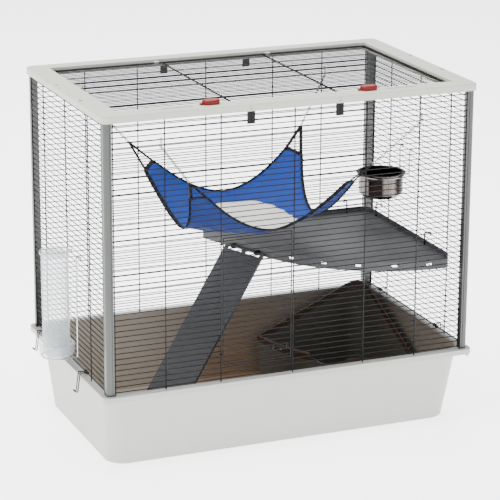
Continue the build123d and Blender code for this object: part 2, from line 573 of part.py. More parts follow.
# ---- Ramp -------------------------------------------------------------------------------
ramp_plane = Plane(origin=ramp_pivot,
                   x_dir=Vector(ramp_way.X * cos(slope), ramp_way.Y * cos(slope), -sin(slope)),
                   z_dir=Vector(ramp_way.X * sin(slope), ramp_way.Y * sin(slope), cos(slope)))
ramp_length = (ramp_pivot.Z - TRAY_WALL - GAP - RAMP_THICK / 2 * cos(slope)) / sin(slope)
with BuildPart() as ramp:
    with BuildSketch(ramp_plane.offset(-RAMP_THICK / 2)) as deck:
        with Locations((RAMP_KNUCKLE, 0)):
            Rectangle(ramp_length - RAMP_KNUCKLE, RAMP_WIDTH, align=(Align.MIN, Align.CENTER))
        knuckle_out = (RAMP_WIDTH - RAMP_KNUCKLE) / 2
        with Locations((0, -knuckle_out), (0, 0), (0, knuckle_out)):
            Rectangle(RAMP_KNUCKLE, RAMP_KNUCKLE, align=(Align.MIN, Align.CENTER))
    extrude(deck.sketch, amount=RAMP_THICK)
    with BuildSketch(Plane(origin=ramp_pivot - edge_way * RAMP_WIDTH / 2, z_dir=edge_way)) as rod:
        Circle(RAMP_ROD)
    extrude(rod.sketch, amount=RAMP_WIDTH)
    with BuildSketch(ramp_plane.offset(RAMP_THICK / 2)) as ribs:
        rib_pitch = (ramp_length - 2 * RAMP_KNUCKLE) / RAMP_RIBS
        with Locations(*[(RAMP_KNUCKLE + rib_pitch * (k + 0.5), 0) for k in range(RAMP_RIBS)]):
            Rectangle(RIB_WIDTH, RAMP_WIDTH - RAMP_KNUCKLE)
    extrude(ribs.sketch, amount=RIB_RISE)
save(ramp, "ramp")

# ---- Food bowl and its ring -------------------------------------------------------------
ring_z = ROWS[BOWL_ROW] - ROW_PITCH / 2
ring_middle = BOWL_RADIUS + 4 * GAP + FITTING_WIRE
bowl_seat = ring_z + FITTING_WIRE + GAP
bowl_low = bowl_seat + BOWL_LIP / 2 - BOWL_HEIGHT
with BuildPart() as bowl:
    with BuildSketch(Plane(origin=(*BOWL_AT, bowl_low), x_dir=(1, 0, 0), z_dir=(0, -1, 0))) as bowl_section:
        with BuildLine():
            Polyline((0, 0), (BOWL_RADIUS - BOWL_CORNER, 0), (BOWL_RADIUS, BOWL_CORNER),
                     (BOWL_RADIUS, BOWL_HEIGHT - BOWL_LIP / 2),
                     (BOWL_RADIUS + BOWL_LIP, BOWL_HEIGHT - BOWL_LIP / 2),
                     (BOWL_RADIUS + BOWL_LIP, BOWL_HEIGHT), (BOWL_RADIUS - BOWL_WALL, BOWL_HEIGHT),
                     (BOWL_RADIUS - BOWL_WALL, BOWL_CORNER + BOWL_WALL),
                     (BOWL_RADIUS - BOWL_CORNER - BOWL_WALL, BOWL_WALL), (0, BOWL_WALL), close=True)
        make_face()
    revolve(bowl_section.sketch, axis=Axis(origin=(*BOWL_AT, 0), direction=(0, 0, 1)))
save(bowl, "bowl")

with BuildPart() as bowl_holder:
    ring_at((*BOWL_AT, ring_z), (0, 0, 1), ring_middle, FITTING_WIRE)
    bowl_hook_row = ROWS[BOWL_ROW + BOWL_HOOK_ROWS]
    over = bowl_hook_row + ROW_RADIUS + FITTING_WIRE + GAP
    start = BOWL_AT[0] + (ring_middle ** 2 - BOWL_ARM ** 2) ** 0.5
    stem = ROW_X - ROW_RADIUS - GAP - FITTING_WIRE
    for y in (BOWL_Y - BOWL_ARM, BOWL_Y + BOWL_ARM):
        hanging_wire([(start, y, ring_z), (stem, y, ring_z), (stem, y, over), (UPRIGHT_X + 1, y, over)],
                     bowl_hook_row)
save(bowl_holder, "bowl_holder")

# ---- Water bottle outside the left panel ------------------------------------------------
bottle_x = -(UPRIGHT_X + UPRIGHT_RADIUS + 3 * GAP + DISH_RADIUS)
tank_low = DISH_BASE + DISH_FLOOR
with BuildPart() as bottle_dish:
    with Locations((bottle_x, BOTTLE_Y, DISH_BASE)):
        Cylinder(DISH_RADIUS, DISH_HEIGHT, align=(Align.CENTER, Align.CENTER, Align.MIN))
    fillet(bottle_dish.faces().sort_by(Axis.Z)[0].edges(), radius=3 * DISH_WALL)
    with Locations((bottle_x, BOTTLE_Y, tank_low)):
        Cylinder(DISH_RADIUS - DISH_WALL, DISH_HEIGHT, mode=Mode.SUBTRACT,
                 align=(Align.CENTER, Align.CENTER, Align.MIN))
save(bottle_dish, "bottle_dish")

with BuildPart() as bottle_tank:
    with Locations((bottle_x, BOTTLE_Y, tank_low)):
        Cylinder(TANK_RADIUS, TANK_HEIGHT, align=(Align.CENTER, Align.CENTER, Align.MIN))
    with Locations((bottle_x, BOTTLE_Y, tank_low + DISH_WALL)):
        Cylinder(TANK_RADIUS - DISH_WALL, TANK_HEIGHT - 2 * DISH_WALL, mode=Mode.SUBTRACT,
                 align=(Align.CENTER, Align.CENTER, Align.MIN))
save(bottle_tank, "bottle_tank")

with BuildPart() as bottle_cap:
    with Locations((bottle_x, BOTTLE_Y, tank_low + TANK_HEIGHT)):
        Cylinder(CAP_RADIUS, CAP_HEIGHT, align=(Align.CENTER, Align.CENTER, Align.MIN))
    fillet(bottle_cap.faces().sort_by(Axis.Z)[-1].edges(), radius=DISH_WALL)
save(bottle_cap, "bottle_cap")

with BuildPart() as bottle_holder:
    low_ring = DISH_BASE - GAP - FITTING_WIRE
    ring_radius = DISH_RADIUS - 3 * DISH_WALL
    ring_at((bottle_x, BOTTLE_Y, low_ring), (0, 0, 1), ring_radius, FITTING_WIRE)
    bottle_hook_row = max(z for z in ROWS if z < tank_low + TANK_HEIGHT)
    arm = ring_radius - FITTING_WIRE
    start = bottle_x + (ring_radius ** 2 - arm ** 2) ** 0.5
    stem = -(UPRIGHT_X + UPRIGHT_RADIUS + GAP + FITTING_WIRE)
    over = bottle_hook_row + ROW_RADIUS + FITTING_WIRE + GAP
    inner = -(ROW_X - ROW_RADIUS - 2 * FITTING_WIRE)
    for y in (BOTTLE_Y - arm, BOTTLE_Y + arm):
        hanging_wire([(start, y, low_ring), (stem, y, low_ring), (stem, y, over), (inner, y, over)],
                     bottle_hook_row)
save(bottle_holder, "bottle_holder")

# ---- Corner litter pan ------------------------------------------------------------------
pan_base = TRAY_WALL + GAP
lean_x = TRAY_TAPER_X / TRAY_HEIGHT
lean_y = TRAY_TAPER_Y / TRAY_HEIGHT


def pan_outline(height, inset):
    """Plan of the pan at a height above the floor, inset from its outer face."""
    right = PAN_CORNER[0] - lean_x * (TRAY_HEIGHT - height) - inset
    back = PAN_CORNER[1] - lean_y * (TRAY_HEIGHT - height) - inset
    left, front = PAN_LEFT + PAN_SPREAD * inset, PAN_FRONT + PAN_SPREAD * inset
    bow_x, bow_y = ((left + right) / 2 - PAN_BOW + inset, (back + front) / 2 - PAN_BOW + inset)
    with BuildSketch(Plane.XY.offset(height)) as outline:
        with BuildLine():
            back_line = Line((right, back), (left, back))
            bow = ThreePointArc(back_line @ 1, (bow_x, bow_y), (right, front))
            Line(bow @ 1, back_line @ 0)
        make_face()
        corner = outline.vertices().sort_by(lambda v: v.X + v.Y)[-1]
        fillet(corner, radius=PAN_CORNER_ROUND - inset)
    return outline.sketch


rise_x = (PAN_HIGH - PAN_SIDE) / (PAN_CORNER[0] - PAN_LEFT)
rise_y = (PAN_HIGH - PAN_SIDE) / (PAN_CORNER[1] - PAN_FRONT)
with BuildPart() as litter_pan:
    loft([pan_outline(pan_base, 0), pan_outline(PAN_HIGH, 0)])
    loft([pan_outline(pan_base + PAN_WALL, PAN_WALL), pan_outline(PAN_HIGH, PAN_WALL)], mode=Mode.SUBTRACT)
    with BuildSketch(Plane(origin=(*PAN_CORNER, PAN_HIGH), x_dir=(1, 0, rise_x),
                           z_dir=Vector(-rise_x, -rise_y, 1).normalized())) as slant:
        Rectangle(2 * RIM_LENGTH, 2 * RIM_LENGTH)
    extrude(slant.sketch, amount=RIM_LENGTH, mode=Mode.SUBTRACT)
    dip_x, dip_y = (PAN_CORNER[0] + PAN_LEFT) / 2 - PAN_BOW, (PAN_CORNER[1] + PAN_FRONT) / 2 - PAN_BOW
    rim_z = PAN_HIGH - rise_x * (PAN_CORNER[0] - dip_x) - rise_y * (PAN_CORNER[1] - dip_y)
    with Locations(Plane(origin=(dip_x, dip_y, rim_z - DIP_DEPTH + DIP_RADIUS), z_dir=(1, 1, 0))):
        Cylinder(DIP_RADIUS, DIP_RADIUS, mode=Mode.SUBTRACT)
save(litter_pan, "litter_pan")

# ---- Hammock ----------------------------------------------------------------------------
hook_x, hook_z = HALF_RIM_X - HAMMOCK_HOOK_INSET, ROWS[-HAMMOCK_HOOK_DOWN]
hook_inside = ROW_Y - ROW_RADIUS - GAP - FITTING_WIRE
HAMMOCK_TIP = (hook_x - CHAIN_SPAN[0], hook_inside - CHAIN_SPAN[1], hook_z - CHAIN_SPAN[2])
tip_x, tip_y, tip_z = HAMMOCK_TIP
cloth_x, cloth_y, cloth_top = (tip - span for tip, span in zip(HAMMOCK_TIP, CORNER_SPAN))
hammock_base = tip_z - HAMMOCK_DROP


def hammock_loft(inset, mode):
    """Boat shape between a small floor and the four cloth corners."""
    with BuildSketch(Plane.XY.offset(hammock_base + inset)) as low:
        RectangleRounded(2 * (cloth_x * FLOOR_SHARE - inset), 2 * (cloth_y * FLOOR_SHARE - inset),
                         CLOTH_CORNER)
    with BuildSketch(Plane.XY.offset(cloth_top)) as high:
        RectangleRounded(2 * (cloth_x - inset), 2 * (cloth_y - inset), CLOTH_CORNER)
    loft([low.sketch, high.sketch], mode=mode)


with BuildPart() as hammock:
    hammock_loft(0, Mode.ADD)
    hammock_loft(CLOTH, Mode.SUBTRACT)
    for plane, half, sag in ((Plane.XZ, cloth_x, EDGE_SAG[0]), (Plane.YZ, cloth_y, EDGE_SAG[1])):
        with BuildSketch(plane) as edge_sag:
            with Locations((0, cloth_top)):
                Ellipse(half - SAG_INSET, sag)
        extrude(edge_sag.sketch, amount=RIM_LENGTH, both=True, mode=Mode.SUBTRACT)
save(hammock, "hammock")


def straight_rod(start, finish, radius):
    """Round rod between two points."""
    run = Vector(*finish) - Vector(*start)
    with BuildSketch(Plane(origin=start, z_dir=run)) as section:
        Circle(radius)
    extrude(section.sketch, amount=run.length)


corner_in = CLOTH_CORNER * (1 - 0.5 ** 0.5) + CLOTH / 2
hook_foot = hook_z - HOOK_FOOT
chain_way = (Vector(hook_x, hook_inside, hook_foot) - Vector(*HAMMOCK_TIP)).normalized()
with BuildPart() as hammock_straps:
    for sx in (-1, 1):
        for sy in (-1, 1):
            straight_rod((sx * (cloth_x - corner_in), sy * (cloth_y - corner_in), cloth_top + STRAP_RADIUS),
                         (sx * tip_x, sy * tip_y, tip_z), STRAP_RADIUS)
save(hammock_straps, "hammock_straps")

with BuildPart() as hammock_chains:
    for sx in (-1, 1):
        for sy in (-1, 1):
            first = Vector(*HAMMOCK_TIP) + chain_way * CHAIN_RADIUS
            last = Vector(hook_x, hook_inside, hook_foot - CHAIN_RADIUS)
            straight_rod((sx * first.X, sy * first.Y, first.Z), (sx * last.X, sy * last.Y, last.Z),
                         CHAIN_RADIUS)
save(hammock_chains, "hammock_chains")

with BuildPart() as hammock_hooks:
    for sx in (-1, 1):
        for sy in (-1, 1):
            x, inside, outside = sx * hook_x, sy * hook_inside, sy * (UPRIGHT_Y + 1)
            top = hook_z + ROW_RADIUS + HOOK_RADIUS + GAP
            bent_wire([(x, inside, hook_foot), (x, inside, top), (x, outside, top),
                       (x, outside, hook_z - HOOK_TAIL)], HOOK_RADIUS + GAP, HOOK_RADIUS)
save(hammock_hooks, "hammock_hooks")
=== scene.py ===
"""Two-level wire cage for small pets: finishes, wire grids, soft goods, camera and light.

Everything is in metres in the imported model's own frame: X along the cage, Y to the back, Z up.
"""
from __future__ import annotations

import logging
import math
from dataclasses import dataclass
from enum import Enum
from typing import Callable, Iterable, Sequence

import bmesh
import bpy
from mathutils import Matrix, Vector


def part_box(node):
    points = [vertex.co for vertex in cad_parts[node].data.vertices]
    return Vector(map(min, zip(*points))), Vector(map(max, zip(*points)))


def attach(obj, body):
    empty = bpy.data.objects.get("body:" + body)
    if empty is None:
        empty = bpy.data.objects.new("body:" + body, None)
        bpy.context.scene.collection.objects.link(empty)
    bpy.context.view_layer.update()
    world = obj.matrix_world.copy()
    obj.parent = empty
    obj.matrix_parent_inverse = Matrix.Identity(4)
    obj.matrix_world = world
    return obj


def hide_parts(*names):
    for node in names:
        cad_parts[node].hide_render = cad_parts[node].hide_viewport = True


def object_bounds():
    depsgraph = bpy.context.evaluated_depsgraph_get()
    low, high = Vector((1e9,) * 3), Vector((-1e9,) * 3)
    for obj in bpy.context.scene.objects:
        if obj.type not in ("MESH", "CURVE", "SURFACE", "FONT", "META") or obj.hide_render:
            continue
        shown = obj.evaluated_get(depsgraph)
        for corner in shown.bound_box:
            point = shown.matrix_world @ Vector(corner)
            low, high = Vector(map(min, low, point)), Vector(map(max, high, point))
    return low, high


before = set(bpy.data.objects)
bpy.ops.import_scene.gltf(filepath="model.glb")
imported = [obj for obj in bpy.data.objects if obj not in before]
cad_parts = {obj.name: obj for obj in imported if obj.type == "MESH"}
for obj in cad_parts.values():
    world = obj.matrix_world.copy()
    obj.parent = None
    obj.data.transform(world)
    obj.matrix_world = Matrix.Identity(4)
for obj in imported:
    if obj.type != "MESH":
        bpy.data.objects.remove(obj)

CAD_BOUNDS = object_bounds()
LOG = logging.getLogger("cage")
MM = 0.001
Colour = tuple[float, float, float]
Place = tuple[float, float, float]
Pair = tuple[float, float]
TUBE_SIDES = 8           # faces around a binding or strap
ROW_SIDES = 10           # faces around a thin row
UPRIGHT_SIDES = 12       # faces around a thicker upright or bar


class Body(Enum):
    """The moving bodies that pieces ride on."""

    CAGE = "cage"
    LID = "roof_lid"


class Axis(Enum):
    """The row axis that a straight wire follows, as the turn that takes Z onto it."""

    X = (0.0, math.pi / 2, 0.0)
    Y = (math.pi / 2, 0.0, 0.0)
    Z = (0.0, 0.0, 0.0)


# ---- Shader graphs ----
def operator(operation: str, swapped: bool = False) -> Callable[[Value, Value | float], Value]:
    """A method that combines a Value and an operand.

    Args:
        operation: The Math node's operation.
        swapped: True to put the operand first.

    Returns:
        The method.
    """
    def method(self: Value, other: Value | float) -> Value:
        """Add the Math node and return its result."""
        first, second = (other, self) if swapped else (self, other)
        return self.graph.node("ShaderNodeMath", {"operation": operation}, first, second)
    return method


class Value:
    """A shader socket that Python's operators combine into Math nodes."""

    __add__, __radd__ = operator("ADD"), operator("ADD", True)
    __sub__, __rsub__ = operator("SUBTRACT"), operator("SUBTRACT", True)
    __mul__ = operator("MULTIPLY")
    __lt__, __gt__ = operator("LESS_THAN"), operator("GREATER_THAN")
    at_most, at_least = operator("MINIMUM"), operator("MAXIMUM")

    def __init__(self, graph: Graph, socket: bpy.types.NodeSocket) -> None:
        """Hold a socket and the graph it belongs to."""
        self.graph = graph
        self.socket = socket

    def wave(self) -> Value:
        """The sine of the value."""
        return self.graph.node("ShaderNodeMath", {"operation": "SINE"}, self, 0.0)


class Graph:
    """One material's node tree, with a Principled shader at its end."""

    def __init__(self, name: str) -> None:
        """Start an empty tree that ends in a Principled shader.

        Args:
            name: The material's name.
        """
        self.material = bpy.data.materials.new(name)
        self.material.use_nodes = True
        self.tree = self.material.node_tree
        self.tree.nodes.clear()
        self.shader = self.tree.nodes.new("ShaderNodeBsdfPrincipled")
        out = self.tree.nodes.new("ShaderNodeOutputMaterial")
        self.tree.links.new(self.shader.outputs[0], out.inputs["Surface"])

    def node(self, kind: str, settings: dict | None = None, *ordered: object, pick: str | int = 0,
             **named: object) -> Value:
        """Add a node.

        Args:
            kind: The node's type.
            settings: Its properties, or "stops" for a colour ramp.
            ordered: Values or links of its first sockets, in order.
            pick: The output that is wanted.
            named: Values or links of sockets by name, with _ for a space.

        Returns:
            The wanted output.
        """
        made = self.tree.nodes.new(kind)
        for key, setting in (settings or {}).items():
            if key == "stops":
                ramp = made.color_ramp.elements
                while len(ramp) < len(setting):
                    ramp.new(0.5)
                for element, (place, colour) in zip(ramp, setting):
                    element.position, element.color = place, (*colour, 1.0)
            else:
                setattr(made, key, setting)
        for socket, content in zip(made.inputs, ordered):
            self._fill(socket, content)
        for key, content in named.items():
            self._fill(made.inputs[key.replace("_", " ")], content)
        return Value(self, made.outputs[pick])

    def _fill(self, socket: bpy.types.NodeSocket, content: object) -> None:
        """Link a Value to a socket, or set a plain value on it."""
        if isinstance(content, Value):
            self.tree.links.new(content.socket, socket)
        else:
            socket.default_value = content

    def set(self, **sockets: object) -> None:
        """Fill the Principled shader's sockets by name."""
        for key, content in sockets.items():
            self._fill(self.shader.inputs[key.replace("_", " ")], content)

    def place(self) -> Value:
        """Object coordinates, in metres."""
        return self.node("ShaderNodeTexCoord", pick="Object")

    def facing(self) -> Value:
        """The surface's own direction, in object axes."""
        return self.node("ShaderNodeTexCoord", pick="Normal")

    def parts(self, vector: Value) -> tuple[Value, Value, Value]:
        """The three parts of a vector."""
        split = self.node("ShaderNodeSeparateXYZ", None, vector)
        outs = split.socket.node.outputs
        return tuple(Value(self, outs[k]) for k in range(3))

    def noise(self, scale: float, detail: float = 3.0, stretch: Place = (1.0, 1.0, 1.0)) -> Value:
        """Noise on object coordinates, from 0 to 1."""
        where = self.node("ShaderNodeMapping", None, self.place(), Scale=stretch)
        return self.node("ShaderNodeTexNoise", None, where, Scale=scale, Detail=detail)

    def mix(self, factor: Value | float, low: Value | Colour, high: Value | Colour) -> Value:
        """A colour between two others.

        Args:
            factor: Share of the second colour.
            low: The first colour, or a link to one.
            high: The second colour, or a link to one.

        Returns:
            The mixed colour.
        """
        made = self.tree.nodes.new("ShaderNodeMix")
        made.data_type = "RGBA"
        self._fill(made.inputs[0], factor)
        for socket, colour in ((made.inputs[6], low), (made.inputs[7], high)):
            self._fill(socket, colour if isinstance(colour, Value) else (*colour, 1.0))
        return Value(self, made.outputs[2])

    def mottled(self, factor: Value, colour: Colour, shades: Pair) -> Value:
        """One colour between a darker and a lighter shade of itself."""
        return self.mix(factor, shade(colour, shades[0]), shade(colour, shades[1]))

    def bump(self, height: Value, strength: float, distance: float) -> Value:
        """A bumped normal from a height."""
        return self.node("ShaderNodeBump", None, strength, distance, Height=height, pick="Normal")


def shade(colour: Colour, factor: float) -> Colour:
    """A colour made darker or lighter."""
    return tuple(min(1.0, part * factor) for part in colour)


def uneven(middle: float, noise: Value, swing: float) -> Value:
    """A value that a noise moves up and down by half its swing."""
    return middle + (noise - 0.5) * swing


# ---- Finishes ----
@dataclass(frozen=True)
class MouldedPlastic:
    """Injection-moulded plastic with a fine grain, slight flow marks and rubbed-down gloss."""

    name: str
    colour: Colour
    roughness: float = 0.45
    grain: float = 0.25
    grain_scale: float = 900.0
    mottle: float = 0.06
    gloss: float = 0.5

    def build(self) -> bpy.types.Material:
        """Build the material."""
        g = Graph(self.name)
        flow = g.noise(7.0, 4.0)
        grain = g.noise(self.grain_scale, 2.0)
        g.set(Base_Color=g.mottled(flow, self.colour, (1 - self.mottle, 1 + self.mottle)),
              Roughness=uneven(self.roughness, g.noise(40.0), 0.16), Specular_IOR_Level=self.gloss,
              Normal=g.bump(grain, self.grain, 0.4 * MM))
        return g.material


@dataclass(frozen=True)
class TrayPlastic:
    """Pale moulded tray with painted shade inside: taupe, lighter to the left, with a warm painted reflection
    low in the middle.

    Attributes:
        floor_top: Height of the floor's upper face.
        wires: Half the length and depth of the wire walls' ring on the ledge.
        ledge_foot: Height above which only the ledge takes the inside's painted shade.
        inward: Below this, a wall faces the tray's middle.
        warm_at: Middle of the painted warm reflection along X; warm_fall is how fast it fades along X and up.
        pale_at: Where the inside's painted shade starts to lighten to the left; pale_rise is how fast it
            does.
    """

    name: str
    outside: Colour
    inside: Colour
    left: Colour
    warm: Colour
    floor_top: float
    wires: Pair = (0.3640, 0.2140)
    ledge_foot: float = 0.1545
    inward: float = -0.004
    warm_at: float = 0.05
    warm_fall: Pair = (60.0, 4.5)
    pale_at: float = 0.02
    pale_rise: float = 2.6

    def build(self) -> bpy.types.Material:
        """Build the material."""
        g = Graph(self.name)
        x, y, z = g.parts(g.place())
        nx, ny, nz = g.parts(g.facing())
        # Painted shade: the inward walls, the floor and the ledge take a taupe shade colour.
        inward = (x * nx + y * ny) < self.inward
        level = nz > 0.5
        on_floor = level * (z < self.floor_top + 10 * MM)
        ledge = (x * x < self.wires[0] ** 2) * (y * y < self.wires[1] ** 2) * level
        painted_shade_mask = (inward.at_least(on_floor) * (z < self.ledge_foot)).at_least(ledge)
        flow = g.noise(5.0, 4.0)
        # A painted warm reflection lies low in the middle, and the painted shade lightens to the left.
        aside = x - self.warm_at
        warm_reflection_share = ((1.0 - (aside * aside) * self.warm_fall[0]).at_least(0.0)
                  * (1.0 - z * self.warm_fall[1]).at_least(0.0))
        pallor = ((self.pale_at - x) * self.pale_rise).at_least(0.0).at_most(1.0)
        plain = g.mix(pallor, g.mottled(flow, self.inside, (0.9, 1.1)), self.left)
        g.set(Base_Color=g.mix(painted_shade_mask, g.mottled(flow, self.outside, (0.985, 1.015)),
                               g.mix(warm_reflection_share, plain, self.warm)),
              Roughness=uneven(0.42, g.noise(30.0), 0.14) + painted_shade_mask * 0.1,
              Normal=g.bump(g.noise(800.0, 2.0), 0.2, 0.3 * MM))
        return g.material


@dataclass(frozen=True)
class PanPlastic:
    """Moulded pan whose outermost edge band is browner than its walls.

    Attributes:
        band: Height of the brown band.
        slopes: Fall of the pan's edge along X and Y.
    """

    name: str
    wall: Colour
    rim: Colour
    band: float = 3.6 * MM
    slopes: Pair = (93 / 253, 93 / 268)

    def build(self) -> bpy.types.Material:
        """Build the material."""
        g = Graph(self.name)
        _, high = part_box("litter_pan")
        x, y, z = g.parts(g.place())
        edge = (z - high[2]) - (x - high[0]) * self.slopes[0] - (y - high[1]) * self.slopes[1]
        wall = g.mottled(g.noise(9.0, 4.0), self.wall, (0.82, 1.2))
        g.set(Base_Color=g.mix(edge > -self.band, wall, self.rim),
              Roughness=uneven(0.46, g.noise(40.0), 0.16),
              Normal=g.bump(g.noise(520.0, 2.0), 0.3, 0.4 * MM))
        return g.material


@dataclass(frozen=True)
class DrawnMetal:
    """Bare metal with drawing or brushing lines along one axis."""

    name: str
    colour: Colour
    roughness: float = 0.3
    stretch: Place = (1.0, 1.0, 1.0)
    line_scale: float = 300.0
    metallic: float = 1.0
    contrast: float = 0.08

    def build(self) -> bpy.types.Material:
        """Build the material."""
        g = Graph(self.name)
        lines = g.noise(self.line_scale, 2.0, self.stretch)
        haze = g.noise(25.0)
        g.set(Base_Color=g.mottled(lines, self.colour, (1 - self.contrast, 1 + self.contrast)),
              Roughness=uneven(self.roughness, haze, 0.12) + (lines - 0.5) * 0.08,
              Metallic=self.metallic, Normal=g.bump(lines, 0.25, 0.2 * MM))
        return g.material


@dataclass(frozen=True)
class PolishedSteel:
    """Turned sheet steel, polished, with painted reflections in upright bands that run from dark to bright.

    Attributes:
        contrast: How sharply the dark and bright painted reflections part.
        lift: How far the painted reflection bands lean to bright.
        level_tone: Where a level face, such as the floor, lies between the dark and bright painted
            reflections.
        level_calm: How far that takes the painted reflection bands off a level face.
    """

    name: str
    dark: Colour
    bright: Colour
    roughness: float = 0.16
    contrast: float = 6.0
    lift: float = 0.15
    level_tone: float = 0.45
    level_calm: float = 2.2

    def build(self) -> bpy.types.Material:
        """Build the material."""
        g = Graph(self.name)
        # Painted reflections: upright bands of dark and bright in the base colour, and a fixed painted tone
        # on level faces.
        upright = g.noise(4.0, 2.0, (9.0, 9.0, 0.4))
        bands = ((upright - 0.5) * self.contrast + self.lift).at_least(0.0).at_most(1.0)
        turning = g.noise(60.0, 2.0, (0.4, 0.4, 30.0))
        nz = g.parts(g.facing())[2]
        level = (nz * nz > 0.3) * self.level_tone
        painted_reflection = bands * (1.0 - level * self.level_calm).at_least(0.0)
        g.set(Base_Color=g.mix(painted_reflection + level, self.dark, self.bright), Metallic=1.0,
              Roughness=uneven(self.roughness, turning, 0.1), Normal=g.bump(turning, 0.2, 0.2 * MM))
        return g.material


@dataclass(frozen=True)
class CoatedWire:
    """Powder-coated wire: slight orange peel and a soft gloss."""

    name: str
    colour: Colour
    roughness: float = 0.55

    def build(self) -> bpy.types.Material:
        """Build the material."""
        g = Graph(self.name)
        peel = g.noise(1400.0, 2.0)
        g.set(Base_Color=g.mottled(g.noise(60.0), self.colour, (0.8, 1.3)),
              Roughness=uneven(self.roughness, peel, 0.2), Specular_IOR_Level=0.2,
              Normal=g.bump(peel, 0.3, 0.2 * MM))
        return g.material


@dataclass(frozen=True)
class ClearPlastic:
    """Thin clear plastic with faint haze, denser where it is seen edge on and darkened there by painted
    shade.
    """

    name: str
    colour: Colour
    alpha: float
    painted_edge_shade: float = 0.42
    edge_alpha: float = 0.4

    def build(self) -> bpy.types.Material:
        """Build the material."""
        g = Graph(self.name)
        haze = g.noise(30.0) * 0.1
        # Painted shade: the colour darkens where the surface is seen edge on.
        edge = g.node("ShaderNodeLayerWeight", None, 0.3, pick="Facing")
        g.set(Base_Color=g.mix(edge, self.colour, shade(self.colour, self.painted_edge_shade)),
              Roughness=0.06 + haze, Alpha=self.alpha + haze + edge * self.edge_alpha, IOR=1.45,
              Coat_Weight=0.6)
        return g.material


@dataclass(frozen=True)
class WovenCloth:
    """Plain-woven nylon: fine crossing threads, a soft sheen, slight fading and painted shade on the faces
    that look down.

    Attributes:
        thread: Width of a thread.
        under: Painted shade of the faces that look down.
        between: Shade of the gaps between threads.
    """

    name: str
    colour: Colour
    thread: float = 1.1 * MM
    sheen: float = 0.05
    gloss: float = 0.3
    under: float = 0.5
    between: float = 0.62

    def build(self) -> bpy.types.Material:
        """Build the material."""
        g = Graph(self.name)
        x, y, z = g.parts(g.place())
        turn = 2 * math.pi / self.thread
        warp, weft = (x * turn).wave(), ((y + z * 0.6) * turn).wave()
        weave = (warp * weft) * 0.5 + 0.5
        faded = g.mottled(g.noise(14.0, 4.0), self.colour, (0.84, 1.14))
        # Painted shade: the faces that look down are darkened as if in shadow.
        under = g.parts(g.facing())[2] < -0.05
        shaded_below = g.mix(under, faded, shade(self.colour, self.under))
        g.set(Base_Color=g.mix(weave * 0.3, shaded_below, shade(self.colour, self.between)),
              Roughness=0.62 + weave * 0.2, Normal=g.bump(weave, 0.35, 0.4 * MM),
              Sheen_Weight=self.sheen, Sheen_Roughness=0.4, Specular_IOR_Level=self.gloss)
        return g.material


@dataclass(frozen=True)
class Fleece:
    """Short-pile lining: soft, uneven and matt."""

    name: str
    colour: Colour

    def build(self) -> bpy.types.Material:
        """Build the material."""
        g = Graph(self.name)
        pile = g.noise(700.0, 5.0)
        g.set(Base_Color=g.mottled(g.noise(35.0), self.colour, (0.88, 1.06)),
              Roughness=0.86 + pile * 0.1, Normal=g.bump(pile, 0.7, 1.2 * MM), Sheen_Weight=0.5,
              Sheen_Roughness=0.5)
        return g.material


class Finishes:
    """Every finish on the cage, built once."""

    def __init__(self) -> None:
        """Build the materials."""
        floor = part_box("tray")[0][2] + 3 * MM
        # The tray's inside colours are painted shade, a paler painted shade and a painted warm reflection.
        self.tray = TrayPlastic("pale_tray", (0.44, 0.44, 0.42), (0.33, 0.28, 0.235), (0.56, 0.50, 0.42),
                                (0.335, 0.220, 0.135), floor).build()
        self.frame = MouldedPlastic("warm_frame", (0.52, 0.52, 0.455), 0.5, 0.12, 700.0, 0.02, 0.3).build()
        self.post = DrawnMetal("drawn_post", (0.078, 0.082, 0.078), 0.34, (40.0, 40.0, 0.6), 60.0, 0.75,
                               0.2).build()
        self.wire = CoatedWire("black_wire", (0.008, 0.008, 0.009)).build()
        self.chain = DrawnMetal("bright_chain", (0.42, 0.42, 0.43)).build()
        self.zinc = DrawnMetal("zinc_wire", (0.50, 0.50, 0.50)).build()
        self.black = MouldedPlastic("black_clip", (0.010, 0.010, 0.011), 0.5, 0.3, 900.0, 0.2, 0.15).build()
        self.red = MouldedPlastic("red_knob", (0.19, 0.008, 0.005), 0.36, 0.15, 900.0, 0.1, 0.3).build()
        self.slate = MouldedPlastic("slate_shelf", (0.066, 0.069, 0.074), 0.5, 0.45, 520.0, 0.14).build()
        self.pan = PanPlastic("olive_pan", (0.110, 0.100, 0.080), (0.070, 0.036, 0.020)).build()
        # The bowl's dark and bright colours are painted reflections.
        self.steel = PolishedSteel("turned_steel", (0.008, 0.006, 0.005), (0.20, 0.18, 0.16)).build()
        self.clear = ClearPlastic("clear_bottle", (0.80, 0.88, 0.92), 0.09).build()
        self.cloth = WovenCloth("royal_cloth", (0.003, 0.040, 0.28)).build()
        self.webbing = WovenCloth("black_webbing", (0.007, 0.007, 0.009), 1.6 * MM, 0.02, 0.12).build()
        self.fleece = Fleece("cream_fleece", (0.74, 0.73, 0.69)).build()

    def dress_cad(self) -> None:
        """Give each carried-over CAD node its finish."""
        groups = (
            (self.tray, "tray"), (self.frame, "roof_frame", "lid_hinges"), (self.pan, "litter_pan"),
            (self.black, "panel_clips", "ramp_brackets"), (self.slate, "shelf", "ramp"),
            (self.steel, "bowl"), (self.red, "knob_left", "knob_right"),
            (self.zinc, "bowl_holder", "bottle_holder", "hammock_hooks"),
            (self.clear, "bottle_tank", "bottle_dish", "bottle_cap"),
        )
        chosen = {name: finish for finish, *names in groups for name in names}
        for name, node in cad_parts.items():
            finish = chosen.get(name, self.post if name.startswith("post_") else self.wire)
            if not node.material_slots:
                node.data.materials.append(finish)
            for held in node.material_slots:
                held.material = finish


